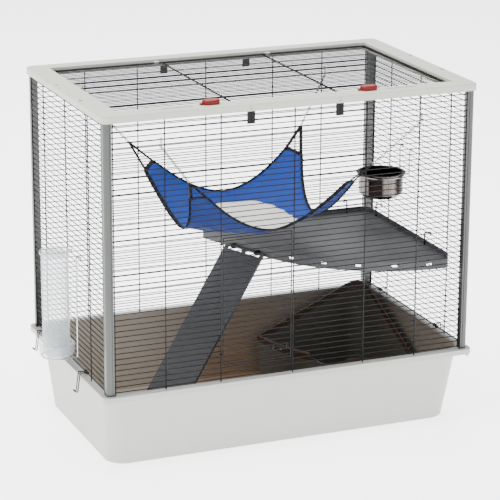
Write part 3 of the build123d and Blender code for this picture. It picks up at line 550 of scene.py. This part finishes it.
# ---- Mesh helpers ----
def link(name: str, mesh: bpy.types.Mesh) -> bpy.types.Object:
    """Add a mesh to the scene as an object at the origin."""
    made = bpy.data.objects.new(name, mesh)
    bpy.context.scene.collection.objects.link(made)
    return made


def smooth(mesh: bpy.types.Mesh) -> None:
    """Shade a mesh smooth."""
    mesh.polygons.foreach_set("use_smooth", [True] * len(mesh.polygons))


def applied(piece: bpy.types.Object) -> bpy.types.Object:
    """Turn a piece's modifiers into plain mesh.

    Args:
        piece: The piece, which is changed.

    Returns:
        The same piece.
    """
    seen = piece.evaluated_get(bpy.context.evaluated_depsgraph_get())
    mesh = bpy.data.meshes.new_from_object(seen)
    piece.modifiers.clear()
    old, piece.data = piece.data, mesh
    bpy.data.meshes.remove(old)
    return piece


def turns(count: int) -> list[float]:
    """Even angles of one full turn."""
    return [2 * math.pi * k / count for k in range(count)]


def joined(name: str, pieces: Sequence[bpy.types.Object]) -> bpy.types.Object:
    """Join several pieces into one object at the origin, keeping their materials.

    Args:
        name: The new object's name.
        pieces: The pieces, which are removed.

    Returns:
        The new object.
    """
    mesh, whole = bpy.data.meshes.new(name), bmesh.new()
    finishes: list[bpy.types.Material] = []
    for piece in pieces:
        for material in piece.data.materials:
            if material not in finishes:
                finishes.append(material)
    for piece in pieces:
        first = len(whole.faces)
        whole.from_mesh(piece.data)
        whole.faces.ensure_lookup_table()
        for face in whole.faces[first:]:
            face.material_index = finishes.index(piece.data.materials[face.material_index])
        bpy.data.objects.remove(piece)
    whole.to_mesh(mesh)
    whole.free()
    for material in finishes:
        mesh.materials.append(material)
    return link(name, mesh)


def tube(points: Sequence[Vector], half_wide: float, half_high: float, up: Callable[[int], Vector],
         closed: bool = False) -> bmesh.types.BMesh:
    """Tube of oval section along points.

    Args:
        points: The middle of the tube.
        half_wide: Half its width across up.
        half_high: Half its height along up.
        up: The up direction at each point's index.
        closed: True for a ring.

    Returns:
        A new bmesh with outward faces.
    """
    made, rings, count = bmesh.new(), [], len(points)
    for k, point in enumerate(points):
        after = points[(k + 1) % count] if closed or k < count - 1 else points[k]
        before = points[k - 1] if closed or k else points[k]
        along = (after - before).normalized()
        high = (up(k) - along * up(k).dot(along)).normalized()
        wide = along.cross(high)
        rings.append([made.verts.new(point + wide * half_wide * math.cos(a) + high * half_high * math.sin(a))
                      for a in turns(TUBE_SIDES)])
    for k in range(count if closed else count - 1):
        here, there = rings[k], rings[(k + 1) % count]
        for s in range(TUBE_SIDES):
            after = (s + 1) % TUBE_SIDES
            made.faces.new((here[s], here[after], there[after], there[s]))
    if not closed:
        made.faces.new(list(reversed(rings[0])))
        made.faces.new(rings[-1])
    bmesh.ops.recalc_face_normals(made, faces=made.faces)
    return made


def from_bmesh(name: str, made: bmesh.types.BMesh, finish: bpy.types.Material) -> bpy.types.Object:
    """Make a smooth object from a bmesh.

    Args:
        name: The new object's name.
        made: Its shape, which is freed.
        finish: Its material.

    Returns:
        The new object.
    """
    mesh = bpy.data.meshes.new(name)
    made.to_mesh(mesh)
    made.free()
    smooth(mesh)
    mesh.materials.append(finish)
    return link(name, mesh)


# ---- Geometry Nodes ----
class NodeTree:
    """A Geometry Nodes tree with named inputs, of which one is its finish."""

    def __init__(self, name: str, inputs: dict[str, str]) -> None:
        """Start a tree.

        Args:
            name: The tree's name.
            inputs: Each further input's name and kind of socket.
        """
        self.tree = bpy.data.node_groups.new(name, "GeometryNodeTree")
        face = self.tree.interface
        face.new_socket("Geometry", in_out="INPUT", socket_type="NodeSocketGeometry")
        for key, kind in {**inputs, "Finish": "Material"}.items():
            face.new_socket(key, in_out="INPUT", socket_type=f"NodeSocket{kind}")
        face.new_socket("Geometry", in_out="OUTPUT", socket_type="NodeSocketGeometry")
        self.start = self.tree.nodes.new("NodeGroupInput")
        self.end = self.tree.nodes.new("NodeGroupOutput")

    def add(self, kind: str, settings: dict | None = None, **sockets: object) -> bpy.types.Node:
        """Add a node.

        Args:
            kind: The node's type.
            settings: Its properties.
            sockets: Values or links of its sockets by name, with _ for a space.

        Returns:
            The node.
        """
        made = self.tree.nodes.new(kind)
        for key, setting in (settings or {}).items():
            setattr(made, key, setting)
        for key, content in sockets.items():
            socket = made.inputs[key.replace("_", " ")]
            if isinstance(content, bpy.types.NodeSocket):
                self.tree.links.new(content, socket)
            else:
                socket.default_value = content
        return made

    def times(self, value: bpy.types.NodeSocket, factor: float) -> bpy.types.NodeSocket:
        """A value multiplied by a constant."""
        made = self.tree.nodes.new("ShaderNodeMath")
        made.operation = "MULTIPLY"
        self.tree.links.new(value, made.inputs[0])
        made.inputs[1].default_value = factor
        return made.outputs[0]

    def given(self, name: str) -> bpy.types.NodeSocket:
        """One of the tree's inputs."""
        return self.start.outputs[name]

    def spots(self) -> bpy.types.Node:
        """Points at the given pitch along the line."""
        route = self.add("GeometryNodeMeshToCurve", Mesh=self.given("Geometry"))
        return self.add("GeometryNodeCurveToPoints", {"mode": "LENGTH"}, Curve=route.outputs[0],
                        Length=self.given("Pitch"))

    def finish(self, instances: bpy.types.NodeSocket) -> bpy.types.GeometryNodeTree:
        """End the tree in Realize Instances and Set Material."""
        real = self.add("GeometryNodeRealizeInstances", Geometry=instances)
        even = self.add("GeometryNodeSetShadeSmooth", Geometry=real.outputs[0])
        dressed = self.add("GeometryNodeSetMaterial", Geometry=even.outputs[0], Material=self.given("Finish"))
        self.tree.links.new(dressed.outputs[0], self.end.inputs[0])
        return self.tree


def rod_tree() -> bpy.types.GeometryNodeTree:
    """Tree that puts a straight round rod on each point."""
    t = NodeTree("rods_on_points", {"Length": "Float", "Radius": "Float", "Turn": "Rotation",
                                    "Sides": "Int"})
    rod = t.add("GeometryNodeMeshCylinder", Vertices=t.given("Sides"), Radius=t.given("Radius"),
                Depth=t.given("Length"))
    put = t.add("GeometryNodeInstanceOnPoints", Points=t.given("Geometry"), Instance=rod.outputs["Mesh"],
                Rotation=t.given("Turn"))
    return t.finish(put.outputs[0])


def bead_tree() -> bpy.types.GeometryNodeTree:
    """Tree that puts a small weld bead on each point."""
    t = NodeTree("beads_on_points", {"Radius": "Float", "Squash": "Vector"})
    bead = t.add("GeometryNodeMeshIcoSphere", Radius=t.given("Radius"), Subdivisions=1)
    put = t.add("GeometryNodeInstanceOnPoints", Points=t.given("Geometry"), Instance=bead.outputs["Mesh"],
                Scale=t.given("Squash"))
    return t.finish(put.outputs[0])


def chain_tree() -> bpy.types.GeometryNodeTree:
    """Tree that hangs narrow oval links along a line, each turned a quarter from the last."""
    t = NodeTree("links_on_line", {"Pitch": "Float", "Wire": "Float"})
    spots = t.spots()
    ring = t.add("GeometryNodeCurvePrimitiveCircle", Resolution=10, Radius=t.times(t.given("Pitch"), 0.46))
    oval = t.add("GeometryNodeTransform", Geometry=ring.outputs[0], Scale=(0.8, 1.5, 1.0),
                 Rotation=(math.pi / 2, 0.0, 0.0))
    section = t.add("GeometryNodeCurvePrimitiveCircle", Resolution=5, Radius=t.given("Wire"))
    body = t.add("GeometryNodeCurveToMesh", Curve=oval.outputs[0], Profile_Curve=section.outputs[0])
    index = t.add("GeometryNodeInputIndex")
    spin = t.add("ShaderNodeCombineXYZ", Z=t.times(index.outputs[0], math.pi / 2))
    turn = t.add("FunctionNodeRotateRotation", {"rotation_space": "LOCAL"},
                 Rotation=spots.outputs["Rotation"], Rotate_By=spin.outputs[0])
    put = t.add("GeometryNodeInstanceOnPoints", Points=spots.outputs["Points"], Instance=body.outputs[0],
                Rotation=turn.outputs[0])
    return t.finish(put.outputs[0])


def stitch_tree() -> bpy.types.GeometryNodeTree:
    """Tree that lays short stitches end to end along a line."""
    t = NodeTree("stitches_on_line", {"Pitch": "Float", "Radius": "Float", "Stitch": "Float"})
    spots = t.spots()
    dash = t.add("GeometryNodeMeshCylinder", Vertices=5, Radius=t.given("Radius"), Depth=t.given("Stitch"))
    put = t.add("GeometryNodeInstanceOnPoints", Points=spots.outputs["Points"], Instance=dash.outputs["Mesh"],
                Rotation=spots.outputs["Rotation"])
    return t.finish(put.outputs[0])


class Trees:
    """The Geometry Nodes trees, built once each."""

    def __init__(self) -> None:
        """Build the trees."""
        self.rods, self.beads = rod_tree(), bead_tree()
        self.links, self.stitches = chain_tree(), stitch_tree()

    @staticmethod
    def run(name: str, tree: bpy.types.GeometryNodeTree, points: Iterable[Sequence[float]],
            edges: bool = False, closed: bool = False, **inputs: object) -> bpy.types.Object:
        """Run a tree on points and keep its result as plain mesh.

        Args:
            name: The new object's name.
            tree: The tree to run.
            points: The points that the tree works on.
            edges: True to join the points in a line.
            closed: True to close that line.
            inputs: The tree's named inputs.

        Returns:
            The new object.
        """
        spots = [tuple(p) for p in points]
        lines = [(k, k + 1) for k in range(len(spots) - 1)] if edges else []
        if edges and closed:
            lines.append((len(spots) - 1, 0))
        mesh = bpy.data.meshes.new(name)
        mesh.from_pydata(spots, lines, [])
        piece = link(name, mesh)
        modifier = piece.modifiers.new("shape", "NODES")
        modifier.node_group = tree
        for item in tree.interface.items_tree:
            if item.in_out == "INPUT" and item.name in inputs:
                modifier[item.identifier] = inputs[item.name]
        return applied(piece)


# ---- Wire grids ----
def spread(box: Sequence[Sequence[float]], places: Iterable[float], across: int) -> list[list[float]]:
    """Points in the middle of a box, moved to each place along one axis."""
    middle = [(a + b) / 2 for a, b in zip(*box)]
    return [[*middle[:across], place, *middle[across + 1:]] for place in places]


@dataclass
class WireGrid:
    """A welded grid: many parallel rows and a few uprights over them."""

    trees: Trees
    finish: bpy.types.Material
    row_radius: float = 1.0 * MM
    row_pitch: float = 11.0 * MM
    bead_radius: float = 1.25 * MM
    bead_squash: float = 0.75

    def rows(self, name: str, node: str, axis: Axis, across: int) -> tuple[bpy.types.Object, list[float]]:
        """Rods of one CAD node of rows.

        Args:
            name: The new object's name.
            node: The CAD node whose box gives the rows' reach.
            axis: The axis that the rods follow.
            across: The index of the axis along which they repeat.

        Returns:
            The rods, and their places along that axis.
        """
        low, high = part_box(node)
        count = round((high[across] - low[across] - 2 * self.row_radius) / self.row_pitch) + 1
        places = [low[across] + self.row_radius + self.row_pitch * k for k in range(count)]
        along = 0 if axis is Axis.X else 1
        rods = self.trees.run(name, self.trees.rods, spread((low, high), places, across),
                              Length=high[along] - low[along], Radius=self.row_radius, Turn=axis.value,
                              Sides=ROW_SIDES, Finish=self.finish)
        return rods, places

    def uprights(self, name: str, node: str, places: Sequence[float], along: int,
                 radius: float) -> bpy.types.Object:
        """Rods along Z at the given places of one CAD node."""
        low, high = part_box(node)
        return self.trees.run(name, self.trees.rods, spread((low, high), places, along),
                              Length=high[2] - low[2], Radius=radius, Turn=Axis.Z.value,
                              Sides=UPRIGHT_SIDES, Finish=self.finish)

    def welds(self, name: str, places: Iterable[Sequence[float]], thin: int) -> bpy.types.Object:
        """Weld beads where rows and uprights cross, flat along one axis."""
        flat = [1.0, 1.0, 1.0]
        flat[thin] = self.bead_squash
        return self.trees.run(name, self.trees.beads, places, Radius=self.bead_radius,
                              Squash=tuple(flat), Finish=self.finish)


@dataclass
class Cage:
    """The four wire walls and the roof lid's grid.

    Attributes:
        edge_inset: From a wall's side edge to the middle of its outermost upright.
        front_uprights: The front and rear walls' other uprights; side_uprights has the end walls'.
        lid_reach: From the lid's first row to its last.
        bar_place: How far to each side a bar lies under the lid's rows.
    """

    trees: Trees
    looks: Finishes
    upright_radius: float = 1.15 * MM
    edge_inset: float = 1.1 * MM
    front_uprights: tuple[float, ...] = (-0.2625, -0.150, 0.0, 0.150, 0.2625)
    side_uprights: tuple[float, ...] = (-0.135, 0.0, 0.135)
    lid_reach: float = 0.374
    bar_place: float = 0.110
    bar_radius: float = 1.5 * MM

    def build(self) -> None:
        """Build every grid."""
        grid = WireGrid(self.trees, self.looks.wire)
        self._wall(grid, "front_panel", "front_uprights",
                   ("front_rows_low", "front_rows_left", "front_rows_right", "front_rows_high"),
                   Axis.X, self.front_uprights)
        self._wall(grid, "rear_panel", "rear_uprights", ("rear_rows",), Axis.X, self.front_uprights)
        self._wall(grid, "left_panel", "left_uprights", ("left_rows",), Axis.Y, self.side_uprights)
        self._wall(grid, "right_panel", "right_uprights", ("right_rows",), Axis.Y, self.side_uprights)
        self._lid(grid)

    def _wall(self, grid: WireGrid, name: str, uprights: str, rows: Sequence[str], axis: Axis,
              inner: Sequence[float]) -> None:
        """One welded wall.

        Args:
            grid: The wire that it is made of.
            name: The wall's name.
            uprights: The CAD node of its uprights.
            rows: The CAD nodes of its rows.
            axis: The axis that its rows follow.
            inner: Places of all uprights but the outermost two.
        """
        along, thin = (0, 1) if axis is Axis.X else (1, 0)
        low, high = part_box(uprights)
        places = (low[along] + self.edge_inset, *inner, high[along] - self.edge_inset)
        pieces = [grid.uprights(f"{name}_uprights", uprights, places, along, self.upright_radius)]
        spots = []
        for node in rows:
            rods, heights = grid.rows(f"{name}_{node}", node, axis, 2)
            pieces.append(rods)
            row_low, row_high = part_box(node)
            for place in places:
                if row_low[along] <= place <= row_high[along]:
                    for height in heights:
                        spot = [0.0, 0.0, height]
                        spot[along] = place
                        spot[thin] = ((row_low[thin] + row_high[thin]) + (low[thin] + high[thin])) / 4
                        spots.append(spot)
        pieces.append(grid.welds(f"{name}_welds", spots, thin))
        wall = joined(name, pieces)
        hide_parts(uprights, *rows)
        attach(wall, Body.CAGE.value)
        LOG.info("%s: %d faces", name, len(wall.data.polygons))

    def _lid(self, grid: WireGrid) -> None:
        """The lid's grid of rows over two bars.

        Args:
            grid: The wire that it is made of.
        """
        low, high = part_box("lid_grid")
        top = high[2] - grid.row_radius
        count = round(self.lid_reach / grid.row_pitch) + 1
        first = -(count - 1) / 2 * grid.row_pitch
        rows = [(0.0, first + grid.row_pitch * k, top) for k in range(count)]
        rods = self.trees.run("lid_rows", self.trees.rods, rows, Length=high[0] - low[0],
                              Radius=grid.row_radius, Turn=Axis.X.value, Sides=ROW_SIDES,
                              Finish=self.looks.wire)
        cross = [(side * self.bar_place, 0.0, low[2] + self.bar_radius) for side in (-1, 1)]
        bars = self.trees.run("lid_bars", self.trees.rods, cross, Length=high[1] - low[1],
                              Radius=self.bar_radius, Turn=Axis.Y.value, Sides=UPRIGHT_SIDES,
                              Finish=self.looks.wire)
        spots = [(x, y, top - grid.row_radius) for x, _, _ in cross for _, y, _ in rows]
        lid = joined("lid_mesh", [rods, bars, grid.welds("lid_welds", spots, 2)])
        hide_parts("lid_grid")
        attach(lid, Body.LID.value)
        LOG.info("lid_mesh: %d faces", len(lid.data.polygons))


# ---- Hammock ----
@dataclass
class Hammock:
    """Square cloth bed with cut corners, hung by webbing loops and chains.

    Attributes:
        tip: The rear right ring, where two straps meet a chain.
        corner: The cloth's rear right corner, before it is cut.
        waist: Half the cloth's width and depth through its middle.
        low: Height of the cloth's middle; front_mid, rear_mid and side_mid are its edges'.
        cut: Share of a side at which the corner is cut off.
        edge_power: How suddenly the cloth rises to its edges; corner_power, to its corners.
        take_up: Flat side over hung side, for the hem and the cut corners.
        centre_height: Height that the binding's outer face looks away from.
    """

    trees: Trees
    looks: Finishes
    tip: Place = (0.190, 0.172, 0.540)
    corner: Place = (0.182, 0.157, 0.513)
    waist: Pair = (0.144, 0.130)
    low: float = 0.3885
    front_mid: float = 0.417
    rear_mid: float = 0.430
    side_mid: float = 0.404
    cut: float = 0.88
    edge_power: float = 2.4
    corner_power: float = 1.7
    most_rise: float = 1.3
    fold_height: float = 1.6 * MM
    sag_height: float = 1.2 * MM
    rings: int = 36
    spokes: int = 192
    thickness: float = 1.5 * MM
    take_up: float = 1.06
    lining_rings: int = 26
    lining_radius: float = 0.100
    lining_lift: float = 2.2 * MM
    lining_thickness: float = 1.2 * MM
    seam_lift: float = 2.9 * MM
    seam_points: int = 300
    edge_points: int = 288
    centre_height: float = 0.46
    strap_steps: int = 6
    chain_steps: int = 20

    def _drawn(self, u: float, v: float) -> Pair:
        """Half the cloth's width at v and its depth at u, which grow towards the corners."""
        return (self.waist[0] + (self.corner[0] - self.waist[0]) * v * v / self.cut ** 2,
                self.waist[1] + (self.corner[1] - self.waist[1]) * u * u / self.cut ** 2)

    def surface(self, u: float, v: float) -> Vector:
        """A point of the cloth.

        Args:
            u: Share of the way from the middle to a side edge.
            v: Share of the way from the middle to the front or rear edge.

        Returns:
            The point, in metres.
        """
        wide, deep = self._drawn(u, v)
        rise_x = self.side_mid - self.low
        rise_y = (self.front_mid if v < 0 else self.rear_mid) - self.low
        left_over = self.corner[2] - self.low - rise_x - rise_y
        both = abs(u * v) / self.cut ** 2
        z = (self.low + rise_x * min(self.most_rise, abs(u) ** self.edge_power)
             + rise_y * min(self.most_rise, abs(v) ** self.edge_power)
             + left_over * both ** self.corner_power)
        share, angle = min(1.0, math.hypot(u, v)), math.atan2(v, u)
        fold = (self.fold_height * math.sin(angle * 16 + 3 * math.sin(angle * 2))
                * (share * (1 - share) * 4) ** 1.5)
        sag = self.sag_height * math.sin(17 * u + 1.3) * math.sin(13 * v + 0.4)
        return Vector((u * wide, v * deep, z + fold + sag * (1 - share)))

    def point(self, share: float, angle: float) -> Vector:
        """A point of the cloth from its share of the way out and its direction from the middle."""
        c, s = math.cos(angle), math.sin(angle)
        square = max(abs(c), abs(s), (abs(c) + abs(s)) / (2 * self.cut))
        blend = share ** 1.5
        reach = share * ((1 - blend) + blend / square)
        return self.surface(c * reach, s * reach)

    def lined(self, share: float, angle: float) -> Vector:
        """A point of the cloth under the round lining.

        Args:
            share: Share of the lining's radius.
            angle: Direction from the middle.

        Returns:
            The point, in metres.
        """
        x, y = (self.lining_radius * share * part for part in (math.cos(angle), math.sin(angle)))
        u, v = x / self.waist[0], y / self.waist[1]
        for _ in range(6):
            wide, deep = self._drawn(u, v)
            u, v = x / wide, y / deep
        return self.surface(u, v)

    def _disc(self, name: str, rings: int, lift: float, place: Callable[[float, float], Vector],
              finish: bpy.types.Material) -> bpy.types.Object:
        """A sheet of rings about the middle, lifted off the surface.

        Args:
            name: The new object's name.
            rings: How many rings it has.
            lift: How far it lies above the surface.
            place: Gives a point from its share of the way out and its angle.
            finish: Its material.

        Returns:
            The new object, still without thickness.
        """
        made, up = bmesh.new(), Vector((0, 0, lift))
        middle = made.verts.new(place(0.0, 0.0) + up)
        loops = [[made.verts.new(place(ring / rings, angle) + up) for angle in turns(self.spokes)]
                 for ring in range(1, rings + 1)]
        for k in range(self.spokes):
            after = (k + 1) % self.spokes
            made.faces.new((middle, loops[0][k], loops[0][after]))
            for inner, outer in zip(loops, loops[1:]):
                made.faces.new((inner[k], outer[k], outer[after], inner[after]))
        return from_bmesh(name, made, finish)

    def _solid(self, piece: bpy.types.Object, thickness: float) -> bpy.types.Object:
        """Give a flat piece its thickness."""
        wall = piece.modifiers.new("wall", "SOLIDIFY")
        wall.thickness, wall.offset = thickness, 0.0
        applied(piece)
        smooth(piece.data)
        return piece

    def build(self) -> None:
        """Build the cloth, its binding, lining, seam, loops and chains."""
        cloth = self._solid(self._disc("hammock_cloth", self.rings, 0.0, self.point, self.looks.cloth),
                            self.thickness)
        lining = self._solid(self._disc("hammock_lining", self.lining_rings, self.lining_lift, self.lined,
                                        self.looks.fleece), self.lining_thickness)
        edge = [self.point(1.0, angle) for angle in turns(self.edge_points)]
        out = [(point - Vector((0, 0, self.centre_height))).normalized() for point in edge]
        binding = from_bmesh("hammock_binding", tube(edge, 1.6 * MM, 4.0 * MM, lambda k: out[k], closed=True),
                             self.looks.webbing)
        line = [self.lined(0.98, angle) + Vector((0, 0, self.seam_lift)) for angle in turns(self.seam_points)]
        seam = self.trees.run("hammock_seam", self.trees.stitches, line, edges=True, closed=True,
                              Pitch=3.4 * MM, Radius=0.35 * MM, Stitch=2.2 * MM, Finish=self.looks.cloth)
        loops = joined("hammock_loops", [self._loops(sx, sy) for sx in (-1, 1) for sy in (-1, 1)])
        chains = joined("hammock_links", [self._chain(sx, sy) for sx in (-1, 1) for sy in (-1, 1)])
        for piece in (cloth, lining, binding, seam, loops, chains):
            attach(piece, Body.CAGE.value)
        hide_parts("hammock")
        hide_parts("hammock_straps")
        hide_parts("hammock_chains")

    def _ring(self, sx: int, sy: int) -> Vector:
        """The ring of the corner on the given sides."""
        return Vector((sx * self.tip[0], sy * self.tip[1], self.tip[2]))

    def _loops(self, sx: int, sy: int) -> bpy.types.Object:
        """Two webbing straps from a cut corner's ends to its ring.

        Args:
            sx: -1 for a left corner, 1 for a right one.
            sy: -1 for a front corner, 1 for a rear one.

        Returns:
            The straps as one object.
        """
        tip = self._ring(sx, sy)
        made = bmesh.new()
        aside = math.atan2(1.0, 2 * self.cut - 1.0)
        for turn in (aside, math.pi / 2 - aside):
            foot = self.point(0.99, math.atan2(sy * math.sin(turn), sx * math.cos(turn)))
            run = tip - foot
            face = run.cross(Vector((-sy, sx, 0))).normalized()
            points = [foot + run * (k / self.strap_steps) for k in range(self.strap_steps + 1)]
            strap = tube(points, 3.6 * MM, 1.5 * MM, lambda k: face)
            mesh = bpy.data.meshes.new("strap")
            strap.to_mesh(mesh)
            made.from_mesh(mesh)
            strap.free()
            bpy.data.meshes.remove(mesh)
        return from_bmesh(f"loop_{sx}_{sy}", made, self.looks.webbing)

    def _chain(self, sx: int, sy: int) -> bpy.types.Object:
        """Chain from a ring to its hook on the wall.

        Args:
            sx: -1 for a left corner, 1 for a right one.
            sy: -1 for a front corner, 1 for a rear one.

        Returns:
            The chain's links as one object.
        """
        tip = self._ring(sx, sy)
        _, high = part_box("hammock_chains")
        inset = 1.0 * MM
        hook = Vector((sx * (high[0] - inset), sy * (high[1] - inset), high[2] - inset))
        points = [tip + (hook - tip) * (k / self.chain_steps) for k in range(self.chain_steps + 1)]
        return self.trees.run(f"chain_{sx}_{sy}", self.trees.links, points, edges=True, Pitch=6.2 * MM,
                              Wire=0.75 * MM, Finish=self.looks.chain)


# ---- Studio ----
@dataclass
class Studio:
    """Pale floor, soft light and the camera.

    Attributes:
        turn: Degrees that the camera looks to the right of +Y; tilt is how far down, roll its lean.
        lens: Focal length in millimetres, on a sensor of the given width.
        aim: The point that the lamps look at.
        lamps: Each lamp's name, place, size in metres and power in watts.
    """

    camera_place: Place = (-1.6709, -4.0271, 1.6628)
    turn: float = 22.593
    tilt: float = 16.887
    roll: float = 0.257
    lens: float = 162.94
    sensor: float = 36.0
    floor_size: float = 30.0
    floor_drop: float = 0.5 * MM
    floor_glow: float = 3.2
    sky_glow: float = 0.5
    aim: Place = (0.0, 0.0, 0.35)
    lamps: tuple[tuple[str, Place, float, float], ...] = (
        ("key", (-3.0, -0.5, 2.4), 2.2, 90.0),
        ("fill", (2.4, -2.6, 1.6), 2.6, 4.0),
        ("back", (0.6, 2.8, 2.8), 2.6, 50.0),
        ("top", (0.0, 0.1, 3.4), 2.4, 190.0),
    )

    def build(self) -> None:
        """Build the floor, lights, world and camera."""
        self._floor()
        self._world()
        for lamp in self.lamps:
            self._light(*lamp)
        self._camera()

    def _floor(self) -> None:
        """Plain pale floor, large enough to fill the view."""
        made = bmesh.new()
        bmesh.ops.create_grid(made, x_segments=1, y_segments=1, size=self.floor_size)
        g = Graph("pale_floor")
        g.set(Base_Color=(0.93, 0.93, 0.93, 1.0), Roughness=0.9, Emission_Color=(1.0, 1.0, 1.0, 1.0),
              Emission_Strength=self.floor_glow)
        floor = from_bmesh("floor", made, g.material)
        floor.data.transform(Matrix.Translation((0, 0, CAD_BOUNDS[0][2] - self.floor_drop)))

    def _world(self) -> None:
        """Even white surroundings."""
        world = bpy.data.worlds.new("studio")
        world.use_nodes = True
        sky = world.node_tree.nodes["Background"]
        sky.inputs["Color"].default_value = (1.0, 1.0, 1.0, 1.0)
        sky.inputs["Strength"].default_value = self.sky_glow
        bpy.context.scene.world = world

    def _light(self, name: str, place: Place, size: float, power: float) -> None:
        """Square area light that looks at the cage's middle.

        Args:
            name: The light's name.
            place: Where it stands.
            size: Its side, in metres.
            power: Its power, in watts.
        """
        data = bpy.data.lights.new(name, "AREA")
        data.size, data.energy = size, power
        lamp = bpy.data.objects.new(name, data)
        lamp.location = place
        lamp.rotation_euler = (Vector(self.aim) - Vector(place)).to_track_quat("-Z", "Y").to_euler()
        bpy.context.scene.collection.objects.link(lamp)

    def _camera(self) -> None:
        """Camera at its fixed place, with no lens shift."""
        yaw, pitch, roll = (math.radians(a) for a in (self.turn, self.tilt, self.roll))
        ahead = Vector((math.sin(yaw) * math.cos(pitch), math.cos(yaw) * math.cos(pitch), -math.sin(pitch)))
        right = Vector((math.cos(yaw), -math.sin(yaw), 0.0))
        up = right.cross(ahead)
        right, up = (math.cos(roll) * right + math.sin(roll) * up,
                     math.cos(roll) * up - math.sin(roll) * right)
        data = bpy.data.cameras.new("camera")
        data.lens, data.sensor_width, data.clip_end = self.lens, self.sensor, 100.0
        camera = bpy.data.objects.new("camera", data)
        turned = Matrix((right, up, -ahead)).transposed().to_4x4()
        camera.matrix_world = Matrix.Translation(self.camera_place) @ turned
        bpy.context.scene.collection.objects.link(camera)
        bpy.context.scene.camera = camera


def main() -> None:
    """Build the cage's looks in order."""
    logging.basicConfig(level=logging.INFO)
    looks = Finishes()
    looks.dress_cad()
    trees = Trees()
    Cage(trees, looks).build()
    Hammock(trees, looks).build()
    Studio().build()


if __name__ == "__main__":
    main()
